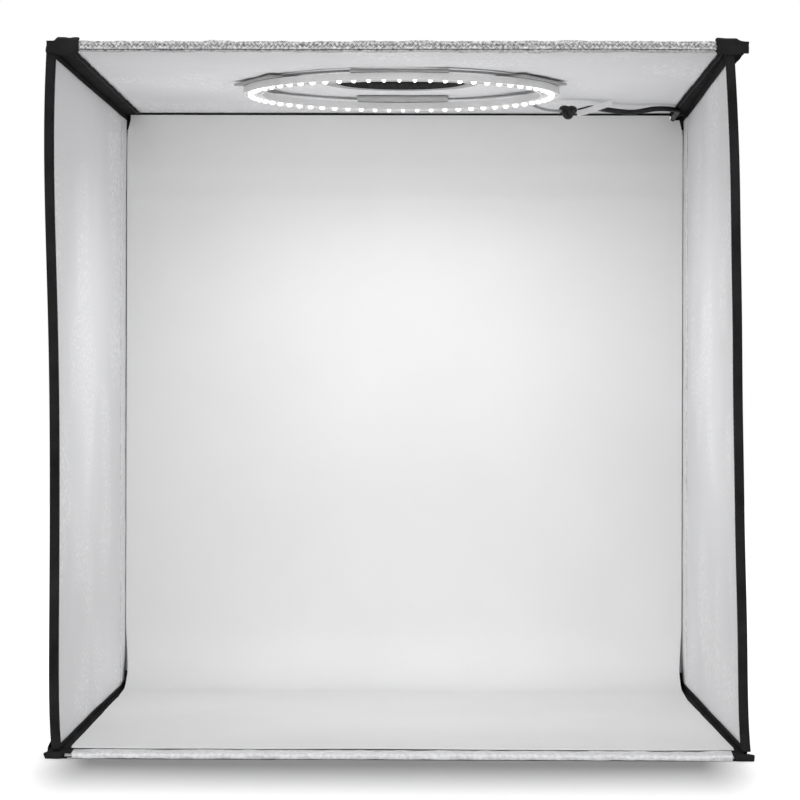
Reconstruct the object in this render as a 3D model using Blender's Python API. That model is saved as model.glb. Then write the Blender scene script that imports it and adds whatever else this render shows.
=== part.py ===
"""Folding light tent cube: six stiff fabric panels, a roof ring light, a backdrop and a USB cord.

The origin is the middle of the base, +Z is up, the open front faces -Y and +X is the
viewer's right. Lengths are in metres. Every panel is a sandwich of an outer cover, a
stiffener board and a silver liner, held at its edges by sewn tape.
"""

import math

import bmesh
import bpy
from mathutils import Matrix, Vector

# Overall size
WIDTH = 0.400
DEPTH = 0.400
ROOF_TOP = 0.411

# Clearance between pieces that touch, and how far a cutter runs past a face
GAP = 0.0003
OVERRUN = 0.004

# Turned faces look round where they meet at less than this angle, in degrees
SMOOTH_ANGLE = 35.0

# Layers of a panel, from the outside in
COVER_T = 0.0006
BOARD_T = 0.0015
LINER_T = 0.0005

# Edge tapes: thickness on each kind of panel, and how far they reach over its faces
WALL_TAPE_T = 0.0006
REAR_TAPE_T = 0.0006
ROOF_TAPE_T = 0.0009
FLOOR_TAPE_T = 0.0006
TAPE_EDGE_ROUND = 0.0005
OUTER_TAPE_W = 0.012
ROOF_SIDE_TAPE_W = 0.015
FLOOR_SIDE_TAPE_W = 0.0145
WALL_FRONT_TAPE_W = 0.007
WALL_RIM_TAPE_W = 0.0035
WALL_FOOT_TAPE_W = 0.0042
REAR_WALL_TAPE_W = 0.010
REAR_CORNER_TAPE_W = 0.0045
HEM_W = 0.010
WALL_REAR_HEM_W = 0.030

# Folded tape ends at the front corners
CAP_T = 0.0015
CAP_SINK = 0.0004
ROOF_CAP_W = 0.0175
ROOF_CAP_DROP = 0.0024
ROOF_CAP_FOLD = 0.009

# Hinge tapes, which bend about the middle of their own thickness
HINGE_TAPE_T = 0.0012
WALL_HINGE_TAPE_INSET = 0.015
WALL_HINGE_TAPE_H = 0.024
ROOF_HINGE_TAPE_INSET = 0.026
ROOF_HINGE_TAPE_H = 0.024

# Backdrop sheet and the strip that it hangs from
SHEET_T = 0.0006
SHEET_SIDE_ROOM = 0.0030
SHEET_FRONT_TAPER = 0.002
SHEET_FRONT_INSET = 0.010
SHEET_TOP_CLEAR = 0.0006
SWEEP_R = 0.040
SWEEP_STEPS = 8
HOOK_STRIP_T = 0.0015
HOOK_STRIP_H = 0.018
HOOK_STRIP_INSET = 0.022

# Viewing hole in the roof, its rim tape and the round patch around it
HOLE_Y = -0.020
HOLE_R = 0.040
RIM_TAPE_W = 0.009
PATCH_REACH = 0.046
PATCH_T = 0.0006
HOLE_STEPS = 48

# Hatch flap over the viewing hole, and how far it laps past the hole's edge
HATCH_LAP = 0.018
HATCH_FLAP_T = 0.0010
HATCH_TAPE_T = 0.0005
HATCH_TAPE_W = 0.008
HATCH_AXIS_BACK = 0.0009
TAB_W = 0.018
TAB_L = 0.012
TAB_T = 0.0010
STRIP_L = 0.100
STRIP_W = 0.014
STRIP_T = 0.0010

# Ring light
RING_IN_R = 0.0885
RING_W = 0.0120
RING_BASE_T = 0.0025
RING_LIP_T = 0.0014
RING_LIP_H = 0.0018
LED_COUNT = 64
LED_INSET = 0.0075
LED_BOARD_T = 0.0008
LED_W = 0.005
LED_H = 0.0011
RING_STEPS = 72

# Hook-and-loop tabs that hold the ring: how far they lap past its inner and outer
# edges, and the turn of each in degrees
RING_TAB_W = 0.060
RING_TAB_T = 0.0014
RING_TAB_LAP = 0.0105
REAR_TAB_LAP = 0.0305
RING_TAB_OVER = 0.002
RING_TAB_TURNS = {"front": 270.0, "rear": 90.0, "left": 205.0, "right": 332.0}

# Cable notch in the rear wall, and the lining of its edge
NOTCH_INSET = 0.0125
NOTCH_W = 0.0068
NOTCH_H = 0.0145
NOTCH_LINING_T = 0.0010
SHEET_CLIP_H = 0.0040

# Thin lead from the ring, the knot and the cord under the roof: turns about the ring's
# middle in degrees, distances below the roof, and shares of the way between two ends
CORD_D = 0.0035
THIN_LEAD_D = 0.0018
KNOT_R = 0.0056
KNOT_TURN = 40.5
KNOT_FROM_RING = 0.0442
KNOT_DROP = 0.0070
KNOT_ROOM = 0.0005
KNOT_LUMPS = 3
KNOT_LUMP_SHARE = 0.10
RING_LEAD_TURN = 37.4
RING_LEAD_ROOM = 0.0007
RING_LEAD_DROP = 0.0035
RING_LEAD_SHARES = [(0.23, 0.24, 0.55), (0.58, 0.66, 1.00)]
LEAD_KNOT_ROOM = 0.0012
LEAD_START_RISE = 0.0004
LEAD_END_ROOM = 0.0053
LEAD_DROP = 0.0023
LEAD_SHARES = [
    (0.051, 0.011, 0.23),
    (0.137, 0.073, 0.65),
    (0.293, 0.256, 0.74),
    (0.533, 0.345, 0.56),
    (0.738, 0.350, 1.07),
    (0.873, 0.361, 1.14),
    (0.967, 0.418, 1.07),
    (0.996, 0.522, 1.05),
    (1.000, 0.742, 1.02),
    (1.000, 0.960, 1.00),
]
RIBBON_T = 0.0008
RIBBON_SIDE = 0.0032
RIBBON_DROP = 0.0032
RIBBON_RISE_SHARE = 0.36

# Coil of the put-away cord, placed from the dimmer and the rear of the cube
COIL_FROM_DIMMER = 0.051
COIL_BACK = 0.042
COIL_MEAN_R = 0.0200
COIL_TURNS = 4
COIL_CLEAR = 0.0005
LOOP_POINTS = 24
TIE_T = 0.0005
TIE_W = 0.009
TIE_ROOM = 0.0026

# In-line dimmer
DIMMER_L = 0.046
DIMMER_W = 0.016
DIMMER_H = 0.009
DIMMER_FROM_NOTCH = 0.0325
DIMMER_BACK = 0.0141
DIMMER_ROUND = 0.0018
DIMMER_WALL = 0.0014
BUTTON_L = 0.011
BUTTON_W = 0.0075
BUTTON_TRAVEL = 0.0008
BUTTON_LEFT_PROUD = 0.0006
BUTTON_FLANGE = 0.0010
BUTTON_FLANGE_T = 0.0006
SLIDE_CLEAR = 0.0002

# USB plug
PLUG_FROM_COIL = 0.0643
PLUG_BACK = 0.0292
GRIP_L = 0.022
GRIP_W = 0.016
GRIP_H = 0.008
PLUG_ROUND = 0.0015
SHELL_L = 0.018
SHELL_W = 0.012
SHELL_H = 0.0045
SHELL_WALL = 0.0005
TONGUE_T = 0.0018

# Routes of the cord behind the cube. The drop starts at the notch and its places are
# given from the notch, the rear of the cube and the roof or the floor; the link is given
# from the dimmer's left end and the tail from the middle of the coil.
DROP_FROM_ROOF = [
    (0.0000, -0.0080, -0.0023),
    (0.0000, -0.0035, -0.0051),
    (0.0000, 0.0000, -0.0088),
    (0.0000, 0.0035, -0.0138),
    (0.0000, 0.0062, -0.0213),
    (0.0003, 0.0070, -0.0443),
    (0.0010, 0.0064, -0.1043),
    (0.0005, 0.0060, -0.1843),
]
DROP_FROM_FLOOR = [
    (-0.0007, 0.0066, 0.1400),
    (-0.0013, 0.0072, 0.0700),
    (-0.0015, 0.0080, 0.0320),
    (-0.0030, 0.0097, 0.0120),
    (-0.0095, 0.0122, 0.0038),
    (-0.0185, 0.0139, 0.0030),
    (-0.0265, 0.0141, 0.0043),
]
LINK_FROM_DIMMER = [
    (-0.0070, 0.0000, 0.0044),
    (-0.0240, -0.0005, 0.0030),
    (-0.0370, -0.0005, 0.00255),
]
TAIL_FROM_COIL = [
    (0.0170, 0.0285, 0.0060),
    (0.0320, 0.0302, 0.0030),
    (0.0460, 0.0296, 0.0026),
    (0.0570, 0.0292, 0.0038),
]

# Places worked out from the sizes above
HALF_W = WIDTH / 2
HALF_D = DEPTH / 2
HINGE_OUT = GAP + HINGE_TAPE_T / 2
CORD_R = CORD_D / 2
COIL_PITCH = CORD_D + COIL_CLEAR
RING_OUT_R = RING_IN_R + RING_W
LED_CIRCLE_R = RING_IN_R + LED_INSET
HATCH_HALF = HOLE_R + HATCH_LAP
NOTCH_X = HALF_W - NOTCH_INSET


def stack_thickness(tape):
    """Whole thickness of a panel, with its edge tape on both faces."""
    return COVER_T + BOARD_T + LINER_T + 2 * tape + 4 * GAP


FLOOR_T = stack_thickness(FLOOR_TAPE_T)
ROOF_T = stack_thickness(ROOF_TAPE_T)
REAR_T = stack_thickness(REAR_TAPE_T)
WALL_T = stack_thickness(WALL_TAPE_T)
ROOF_BASE = ROOF_TOP - ROOF_T
WALL_BASE = FLOOR_T + GAP
WALL_TOP = ROOF_BASE - GAP
REAR_FACE = HALF_D - REAR_T
LINER_Z = ROOF_BASE + ROOF_TAPE_T + GAP
COVER_Z = ROOF_TOP - ROOF_TAPE_T - GAP
DIMMER_RIGHT = NOTCH_X - DIMMER_FROM_NOTCH
DIMMER_LEFT = DIMMER_RIGHT - DIMMER_L
DIMMER_Y = HALF_D + DIMMER_BACK
COIL_X = DIMMER_LEFT - COIL_FROM_DIMMER
COIL_Y = HALF_D + COIL_BACK
PLUG_X = COIL_X + PLUG_FROM_COIL
PLUG_Y = COIL_Y + PLUG_BACK
PLUG_Z = GRIP_H / 2


def clear_scene():
    for thing in list(bpy.data.objects):
        bpy.data.objects.remove(thing, do_unlink=True)


def material(name, colour, roughness, metallic=0.0):
    made = bpy.data.materials.new(name)
    made.use_nodes = True
    shader = made.node_tree.nodes["Principled BSDF"]
    shader.inputs["Base Color"].default_value = (*colour, 1.0)
    shader.inputs["Roughness"].default_value = roughness
    shader.inputs["Metallic"].default_value = metallic
    return made


def body(name, pivot=(0, 0, 0)):
    """An empty that carries one rigid body, with its origin on the body's joint."""
    carrier = bpy.data.objects.new(name, None)
    carrier.location = pivot
    bpy.context.scene.collection.objects.link(carrier)
    return carrier


def carry(piece, carrier, finish):
    """Hang a piece, drawn in the part's frame, on its body and give it its finish."""
    bpy.context.scene.collection.objects.link(piece)
    piece.parent = carrier
    piece.matrix_parent_inverse = Matrix.Translation(-carrier.location)
    if finish:
        piece.data.materials.append(finish)
    return piece


def solid(name, form, carrier, finish, smooth=False):
    """Turn a bmesh into a piece, with its faces pointing out."""
    bmesh.ops.recalc_face_normals(form, faces=form.faces)
    mesh = bpy.data.meshes.new(name)
    form.to_mesh(mesh)
    form.free()
    if smooth:
        mesh.shade_smooth()
        mesh.set_sharp_from_angle(angle=math.radians(SMOOTH_ANGLE))
    return carry(bpy.data.objects.new(name, mesh), carrier, finish)


def box_form(low, high, turn=None):
    """A box between two corners, turned by a matrix if one is given."""
    low, high = Vector(low), Vector(high)
    size = high - low
    form = bmesh.new()
    placed = Matrix.Translation((low + high) / 2) @ Matrix.Diagonal((*size, 1.0))
    bmesh.ops.create_cube(form, size=1.0, matrix=(turn or Matrix()) @ placed)
    return form


def block(name, low, high, carrier, finish, round_edge=0.0):
    piece = solid(name, box_form(low, high), carrier, finish)
    if round_edge:
        bevel = piece.modifiers.new("soft edges", "BEVEL")
        bevel.width = round_edge
        bevel.segments = 2
    return piece


def combine(piece, form, operation):
    """Cut or join a shape with a piece. The shape itself stays out of the model."""
    helper = solid(f"{piece.name}_{operation.lower()}", form, bpy.data.objects["helpers"], None)
    helper.hide_render = True
    helper.display_type = "WIRE"
    step = piece.modifiers.new(operation.lower(), "BOOLEAN")
    step.operation = operation
    step.object = helper
    step.solver = "EXACT"
    return piece


def cut_box(piece, low, high):
    return combine(piece, box_form(low, high), "DIFFERENCE")


def disc_form(radius, centre, low, high, steps):
    form = bmesh.new()
    place = Matrix.Translation((centre[0], centre[1], (low + high) / 2))
    bmesh.ops.create_cone(
        form,
        cap_ends=True,
        segments=steps,
        radius1=radius,
        radius2=radius,
        depth=high - low,
        matrix=place,
    )
    return form


def turned_form(profile, centre, steps):
    """A closed outline of (radius, height) points, turned about an upright axis."""
    form = bmesh.new()
    rows = []
    for step in range(steps):
        angle = math.tau * step / steps
        row = []
        for radius, height in profile:
            x = centre[0] + radius * math.cos(angle)
            y = centre[1] + radius * math.sin(angle)
            row.append(form.verts.new((x, y, height)))
        rows.append(row)
    count = len(profile)
    for step in range(steps):
        here, after = rows[step], rows[(step + 1) % steps]
        for i in range(count):
            k = (i + 1) % count
            form.faces.new((here[i], here[k], after[k], after[i]))
    return form


def prism_form(outline, low, high, axis):
    """A closed outline in the plane across one axis, drawn out along that axis."""
    form = bmesh.new()
    others = [i for i in range(3) if i != axis]
    ends = []
    for level in (low, high):
        ring = []
        for a, b in outline:
            point = Vector((0, 0, 0))
            point[axis], point[others[0]], point[others[1]] = level, a, b
            ring.append(form.verts.new(point))
        ends.append(ring)
    count = len(outline)
    for i in range(count):
        k = (i + 1) % count
        form.faces.new((ends[0][i], ends[0][k], ends[1][k], ends[1][i]))
    form.faces.new(ends[0])
    form.faces.new(reversed(ends[1]))
    return form


def smooth_route(points, step):
    """Evenly spaced points on a smooth curve through a route's own points."""
    points = [Vector(p) for p in points]
    padded = [2 * points[0] - points[1], *points, 2 * points[-1] - points[-2]]
    fine = []
    slices = 24
    for i in range(1, len(padded) - 2):
        a, b, c, d = padded[i - 1 : i + 3]
        for k in range(slices):
            t = k / slices
            fine.append(
                0.5
                * (
                    2 * b
                    + (c - a) * t
                    + (2 * a - 5 * b + 4 * c - d) * t**2
                    + (3 * b - a - 3 * c + d) * t**3
                )
            )
    fine.append(points[-1])
    run = [0.0]
    for a, b in zip(fine, fine[1:]):
        run.append(run[-1] + (b - a).length)
    count = max(2, round(run[-1] / step))
    spaced = []
    at = 0
    for i in range(count + 1):
        want = run[-1] * i / count
        while at < len(run) - 2 and run[at + 1] < want:
            at += 1
        share = (want - run[at]) / (run[at + 1] - run[at])
        spaced.append(fine[at].lerp(fine[at + 1], share))
    return square_ends(spaced, points, step / 2), run[-1]


def square_ends(spaced, route, reach):
    """Keep a cord straight for a short way at each end, square to what it meets."""
    first = (route[1] - route[0]).normalized() * reach
    last = (route[-2] - route[-1]).normalized() * reach
    return [spaced[0], spaced[0] + first, *spaced[1:-1], spaced[-1] + last, spaced[-1]]


def tube(name, points, radius, carrier, finish, resolution):
    """A round cord along a row of points, closed at both ends."""
    curve = bpy.data.curves.new(name, "CURVE")
    curve.dimensions = "3D"
    curve.bevel_depth = radius
    curve.bevel_resolution = resolution
    curve.use_fill_caps = True
    line = curve.splines.new("POLY")
    line.points.add(len(points) - 1)
    for knot, point in zip(line.points, points):
        knot.co = (*point, 1.0)
    return carry(bpy.data.objects.new(name, curve), carrier, finish)


class Panel:
    """The places in one stiff panel: low and high corners, facing out along one axis."""

    def __init__(self, low, high, axis, out, tape):
        self.low, self.high = Vector(low), Vector(high)
        self.axis, self.out, self.tape = axis, out, tape
        self.across = [i for i in range(3) if i != axis]
        self.depths = {}
        at = tape + GAP
        for layer, thickness in (("cover", COVER_T), ("board", BOARD_T), ("liner", LINER_T)):
            self.depths[layer] = (at, at + thickness)
            at += thickness + GAP
        self.stack = (tape, at)

    def slab(self, near, far, inset):
        """The box between two depths from the outer face, drawn in at its edges."""
        low, high = self.low.copy(), self.high.copy()
        for i in self.across:
            low[i] += inset
            high[i] -= inset
        face = high[self.axis] if self.out > 0 else low[self.axis]
        ends = sorted((face - self.out * near, face - self.out * far))
        low[self.axis], high[self.axis] = ends
        return low, high

    def layer(self, name):
        return self.slab(*self.depths[name], self.tape + GAP)

    def cavity(self):
        """The room that the edge tape leaves for the layers."""
        return self.slab(*self.stack, self.tape)

    def window(self, widths, outside):
        """The part of one face that the edge tape leaves free. A width of None is an open edge."""
        low, high = self.low.copy(), self.high.copy()
        for i, (near, far) in zip(self.across, widths):
            low[i] += -OVERRUN if near is None else near
            high[i] -= -OVERRUN if far is None else far
        middle = (self.low[self.axis] + self.high[self.axis]) / 2
        if (self.out > 0) == outside:
            low[self.axis] = middle
            high[self.axis] += OVERRUN
        else:
            high[self.axis] = middle
            low[self.axis] -= OVERRUN
        return low, high


def add_layers(prefix, panel, carrier, finishes):
    """The cover, board and liner of one panel."""
    made = {}
    for layer, finish in zip(("cover", "board", "liner"), finishes):
        low, high = panel.layer(layer)
        made[layer] = block(f"{prefix}_{layer}", low, high, carrier, finish)
    return made


def add_binding(name, panel, inner, outer, carrier, finish):
    """Sewn tape folded over the edges of a panel, with its reach on each face."""
    piece = block(name, panel.low, panel.high, carrier, finish, TAPE_EDGE_ROUND)
    cut_box(piece, *panel.cavity())
    cut_box(piece, *panel.window(inner, False))
    cut_box(piece, *panel.window(outer, True))
    return piece


def add_hem(name, panel, low, high, carrier, finish):
    """A straight fold of tape over one edge of a panel."""
    piece = block(name, low, high, carrier, finish, TAPE_EDGE_ROUND)
    return cut_box(piece, *panel.cavity())


def front_fold(low_x, high_x, low_z, high_z, fold):
    """The outline of a tape end folded over a front corner: down the front and back on top."""
    front = -HALF_D - CAP_T
    back = -HALF_D + fold
    sunk = -HALF_D + CAP_SINK
    outline = [
        (front, low_z),
        (-HALF_D - GAP, low_z),
        (-HALF_D - GAP, low_z + ROOF_CAP_DROP),
        (sunk, low_z + ROOF_CAP_DROP),
        (sunk, high_z),
        (back, high_z),
        (back, high_z + CAP_T - GAP),
        (front, high_z + CAP_T - GAP),
    ]
    return prism_form(outline, low_x, high_x, 0)


def build_floor(root, finishes):
    panel = Panel((-HALF_W, -HALF_D, 0), (HALF_W, HALF_D, FLOOR_T), 2, -1, FLOOR_TAPE_T)
    add_layers("floor", panel, root, finishes["panel"])
    inner = ((FLOOR_SIDE_TAPE_W, FLOOR_SIDE_TAPE_W), (None, REAR_T + OVERRUN))
    outer = ((OUTER_TAPE_W, OUTER_TAPE_W), (None, OUTER_TAPE_W))
    binding = add_binding("floor_binding", panel, inner, outer, root, finishes["tape"])
    hem_x = HALF_W - FLOOR_SIDE_TAPE_W - GAP
    low = (-hem_x, -HALF_D, 0)
    high = (hem_x, -HALF_D + HEM_W, FLOOR_T)
    for side in (-1, 1):
        near, far = sorted((side * HALF_W, side * (HALF_W - FLOOR_SIDE_TAPE_W + 2 * GAP)))
        shape = box_form(
            (near, -HALF_D - CAP_T, 0),
            (far, -HALF_D + CAP_SINK, FLOOR_T - CAP_SINK),
        )
        combine(binding, shape, "UNION")
    add_hem("floor_front_hem", panel, low, high, root, finishes["silver"])


def build_rear_wall(root, finishes):
    panel = Panel(
        (-HALF_W, REAR_FACE, WALL_BASE), (HALF_W, HALF_D, WALL_TOP), 1, 1, REAR_TAPE_T
    )
    layers = add_layers("rear", panel, root, finishes["panel"])
    width = REAR_WALL_TAPE_W
    outer = ((width, width), (width, width))
    inner = ((REAR_CORNER_TAPE_W, REAR_CORNER_TAPE_W), (width, width))
    binding = add_binding("rear_binding", panel, inner, outer, root, finishes["tape"])
    low = Vector((NOTCH_X - NOTCH_W / 2, REAR_FACE - OVERRUN, WALL_TOP - NOTCH_H))
    high = Vector((NOTCH_X + NOTCH_W / 2, HALF_D + OVERRUN, WALL_TOP + OVERRUN))
    for piece in (*layers.values(), binding):
        cut_box(piece, low, high)
    lining = block(
        "cable_notch_lining",
        (low.x + GAP, REAR_FACE, low.z + GAP),
        (high.x - GAP, HALF_D, WALL_TOP),
        root,
        finishes["rubber"],
    )
    cut_box(
        lining,
        (low.x + GAP + NOTCH_LINING_T, low.y, low.z + GAP + NOTCH_LINING_T),
        (high.x - GAP - NOTCH_LINING_T, high.y, high.z),
    )


def build_backdrop(root, finishes):
    """A white sheet that hangs from a strip, bends through a sweep and runs to the front."""
    hook_front = REAR_FACE - GAP - HOOK_STRIP_T
    top = WALL_TOP - SHEET_TOP_CLEAR
    hook_half = HALF_W - HOOK_STRIP_INSET
    sheet_half = HALF_W - WALL_T - SHEET_SIDE_ROOM
    block(
        "backdrop_hook_strip",
        (-hook_half, hook_front, top - HOOK_STRIP_H),
        (hook_half, REAR_FACE - GAP, top),
        root,
        finishes["silver"],
    )
    back_y = hook_front - GAP
    base_z = FLOOR_T + GAP
    centre_y, centre_z = back_y - SWEEP_R, base_z + SWEEP_R
    clip_z = top - SHEET_CLIP_H
    # Each row holds the outer and inner place and the half width there.
    rows = [(back_y, top, -1, 0), (back_y, clip_z, -1, 0)]
    for step in range(SWEEP_STEPS + 1):
        angle = -math.pi / 2 * step / SWEEP_STEPS
        y = centre_y + SWEEP_R * math.cos(angle)
        z = centre_z + SWEEP_R * math.sin(angle)
        rows.append((y, z, -math.cos(angle), -math.sin(angle)))
    rows.append((-HALF_D + SHEET_FRONT_INSET, base_z, 0, 1))
    form = bmesh.new()
    rings = []
    for index, (y, z, toward_y, toward_z) in enumerate(rows):
        half = sheet_half - SHEET_FRONT_TAPER if index == len(rows) - 1 else sheet_half
        inner_y, inner_z = y + SHEET_T * toward_y, z + SHEET_T * toward_z
        corners = (
            (-half, y, z),
            (half, y, z),
            (half, inner_y, inner_z),
            (-half, inner_y, inner_z),
        )
        rings.append([form.verts.new(corner) for corner in corners])
    for here, after in zip(rings, rings[1:]):
        for i in range(4):
            k = (i + 1) % 4
            form.faces.new((here[i], here[k], after[k], after[i]))
    form.faces.new(rings[0])
    form.faces.new(reversed(rings[-1]))
    sheet = solid("backdrop_sheet", form, root, finishes["sheet"])
    edge = NOTCH_X - NOTCH_W / 2 - GAP
    cut_box(
        sheet,
        (edge, back_y - OVERRUN, clip_z),
        (sheet_half + OVERRUN, back_y + OVERRUN, top + OVERRUN),
    )


def build_wall(side, name, carrier, root, finishes):
    """One side wall, which drops outward about its lower outside edge."""
    outer_x, inner_x = side * HALF_W, side * (HALF_W - WALL_T)
    near, far = sorted((outer_x, inner_x))
    rear_y = REAR_FACE - GAP
    panel = Panel((near, -HALF_D, WALL_BASE), (far, rear_y, WALL_TOP), 0, side, WALL_TAPE_T)
    add_layers(name, panel, carrier, finishes["panel"])
    foot, rim = WALL_FOOT_TAPE_W, WALL_RIM_TAPE_W
    widths = ((WALL_FRONT_TAPE_W, None), (foot, rim))
    add_binding(f"{name}_binding", panel, widths, widths, carrier, finishes["tape"])
    low = (near, rear_y - WALL_REAR_HEM_W, WALL_BASE + foot + GAP)
    high = (far, rear_y, WALL_TOP - rim - GAP)
    add_hem(f"{name}_rear_hem", panel, low, high, carrier, finishes["silver"])
    near, far = sorted((side * (HALF_W + GAP), side * (HALF_W + GAP + HINGE_TAPE_T)))
    tape_half = HALF_D - WALL_HINGE_TAPE_INSET
    block(
        f"{name}_hinge_tape",
        (near, -tape_half, GAP),
        (far, tape_half, WALL_HINGE_TAPE_H),
        root,
        finishes["tape"],
    )


def build_roof(roof, root, finishes):
    panel = Panel((-HALF_W, -HALF_D, ROOF_BASE), (HALF_W, HALF_D, ROOF_TOP), 2, 1, ROOF_TAPE_T)
    layers = add_layers("roof", panel, roof, finishes["panel"])
    layer_hole_r = HOLE_R + ROOF_TAPE_T + GAP
    for layer in layers.values():
        hole = disc_form(
            layer_hole_r, (0, HOLE_Y), ROOF_BASE - OVERRUN, ROOF_TOP + OVERRUN, HOLE_STEPS
        )
        combine(layer, hole, "DIFFERENCE")
    inner = ((ROOF_SIDE_TAPE_W, ROOF_SIDE_TAPE_W), (None, REAR_T + OVERRUN))
    outer = ((OUTER_TAPE_W, OUTER_TAPE_W), (None, OUTER_TAPE_W))
    binding = add_binding("roof_binding", panel, inner, outer, roof, finishes["tape"])
    for side in (-1, 1):
        near, far = sorted((side * HALF_W, side * (HALF_W - ROOF_CAP_W)))
        fold = front_fold(near, far, ROOF_BASE - ROOF_CAP_DROP, ROOF_TOP, ROOF_CAP_FOLD)
        combine(binding, fold, "UNION")
    hem_x = HALF_W - ROOF_CAP_W - GAP
    low = (-hem_x, -HALF_D, ROOF_BASE)
    high = (hem_x, -HALF_D + HEM_W, ROOF_TOP)
    add_hem("roof_front_hem", panel, low, high, roof, finishes["silver"])
    tape_half = HALF_W - ROOF_HINGE_TAPE_INSET
    block(
        "roof_hinge_tape",
        (-tape_half, HALF_D + GAP, ROOF_TOP - GAP - ROOF_HINGE_TAPE_H),
        (tape_half, HALF_D + GAP + HINGE_TAPE_T, ROOF_TOP - GAP),
        root,
        finishes["tape"],
    )
    reach = HOLE_R + RIM_TAPE_W
    inside = HOLE_R + ROOF_TAPE_T
    rim = [
        (HOLE_R, ROOF_BASE),
        (reach, ROOF_BASE),
        (reach, ROOF_BASE + ROOF_TAPE_T),
        (inside, ROOF_BASE + ROOF_TAPE_T),
        (inside, ROOF_TOP - ROOF_TAPE_T),
        (reach, ROOF_TOP - ROOF_TAPE_T),
        (reach, ROOF_TOP),
        (HOLE_R, ROOF_TOP),
    ]
    form = turned_form(rim, (0, HOLE_Y), HOLE_STEPS)
    solid("viewing_hole_rim", form, roof, finishes["grey_tape"], smooth=True)
    patch_low, patch_high = LINER_Z - GAP - PATCH_T, LINER_Z - GAP
    patch = [
        (reach + GAP, patch_low),
        (HOLE_R + PATCH_REACH, patch_low),
        (HOLE_R + PATCH_REACH, patch_high),
        (reach + GAP, patch_high),
    ]
    form = turned_form(patch, (0, HOLE_Y), HOLE_STEPS)
    solid("viewing_hole_patch", form, roof, finishes["liner"], smooth=True)
    return patch_low


def build_ring_light(roof, patch_low, finishes):
    """A ring of lamps on a round board in a shallow channel, held up by four tabs."""
    tab_high = patch_low - GAP
    tab_low = tab_high - RING_TAB_T
    top = tab_low - GAP
    under_base = top - RING_BASE_T
    lip_end = under_base - RING_LIP_H
    channel = [
        (RING_IN_R, top),
        (RING_IN_R, lip_end),
        (RING_IN_R + RING_LIP_T, lip_end),
        (RING_IN_R + RING_LIP_T, under_base),
        (RING_OUT_R - RING_LIP_T, under_base),
        (RING_OUT_R - RING_LIP_T, lip_end),
        (RING_OUT_R, lip_end),
        (RING_OUT_R, top),
    ]
    form = turned_form(channel, (0, 0), RING_STEPS)
    solid("ring_housing", form, roof, finishes["ring"], smooth=True)
    build_led_strip(roof, under_base - GAP, finishes)
    for place, degrees in RING_TAB_TURNS.items():
        turn = Matrix.Rotation(math.radians(degrees), 4, "Z")
        lap = REAR_TAB_LAP if place == "rear" else RING_TAB_LAP
        form = box_form(
            (RING_IN_R - lap, -RING_TAB_W / 2, tab_low),
            (RING_OUT_R + RING_TAB_OVER, RING_TAB_W / 2, tab_high),
            turn,
        )
        solid(f"ring_tab_{place}", form, roof, finishes["grey_tape"])


def build_led_strip(roof, board_top, finishes):
    """A flat round board whose under side carries the lamps, each a small raised block."""
    board_low = board_top - LED_BOARD_T
    radii = (
        RING_IN_R + RING_LIP_T + GAP,
        LED_CIRCLE_R - LED_W / 2,
        LED_CIRCLE_R + LED_W / 2,
        RING_OUT_R - RING_LIP_T - GAP,
    )
    half_turn = LED_W / 2 / LED_CIRCLE_R
    pitch = math.tau / LED_COUNT
    form = bmesh.new()
    columns = []
    for lamp in range(LED_COUNT):
        for angle in (lamp * pitch - half_turn, lamp * pitch + half_turn):
            way = Vector((math.cos(angle), math.sin(angle), 0))
            under = [form.verts.new(way * r + Vector((0, 0, board_low))) for r in radii]
            upper = [
                form.verts.new(way * r + Vector((0, 0, board_top)))
                for r in (radii[0], radii[-1])
            ]
            columns.append((under, upper))
    lamps = []
    count = len(columns)
    for i in range(count):
        (under, upper), (under_next, upper_next) = columns[i], columns[(i + 1) % count]
        for k in range(len(radii) - 1):
            face = form.faces.new((under[k], under[k + 1], under_next[k + 1], under_next[k]))
            if i % 2 == 0 and k == 1:
                lamps.append(face)
        form.faces.new((upper[0], upper[1], upper_next[1], upper_next[0]))
        form.faces.new((under[0], upper[0], upper_next[0], under_next[0]))
        form.faces.new((under[-1], upper[1], upper_next[1], under_next[-1]))
    bmesh.ops.recalc_face_normals(form, faces=form.faces)
    raised = bmesh.ops.extrude_discrete_faces(form, faces=lamps)
    for face in raised["faces"]:
        for vert in face.verts:
            vert.co.z -= LED_H
    solid("led_strip", form, roof, finishes["lamp"])


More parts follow.
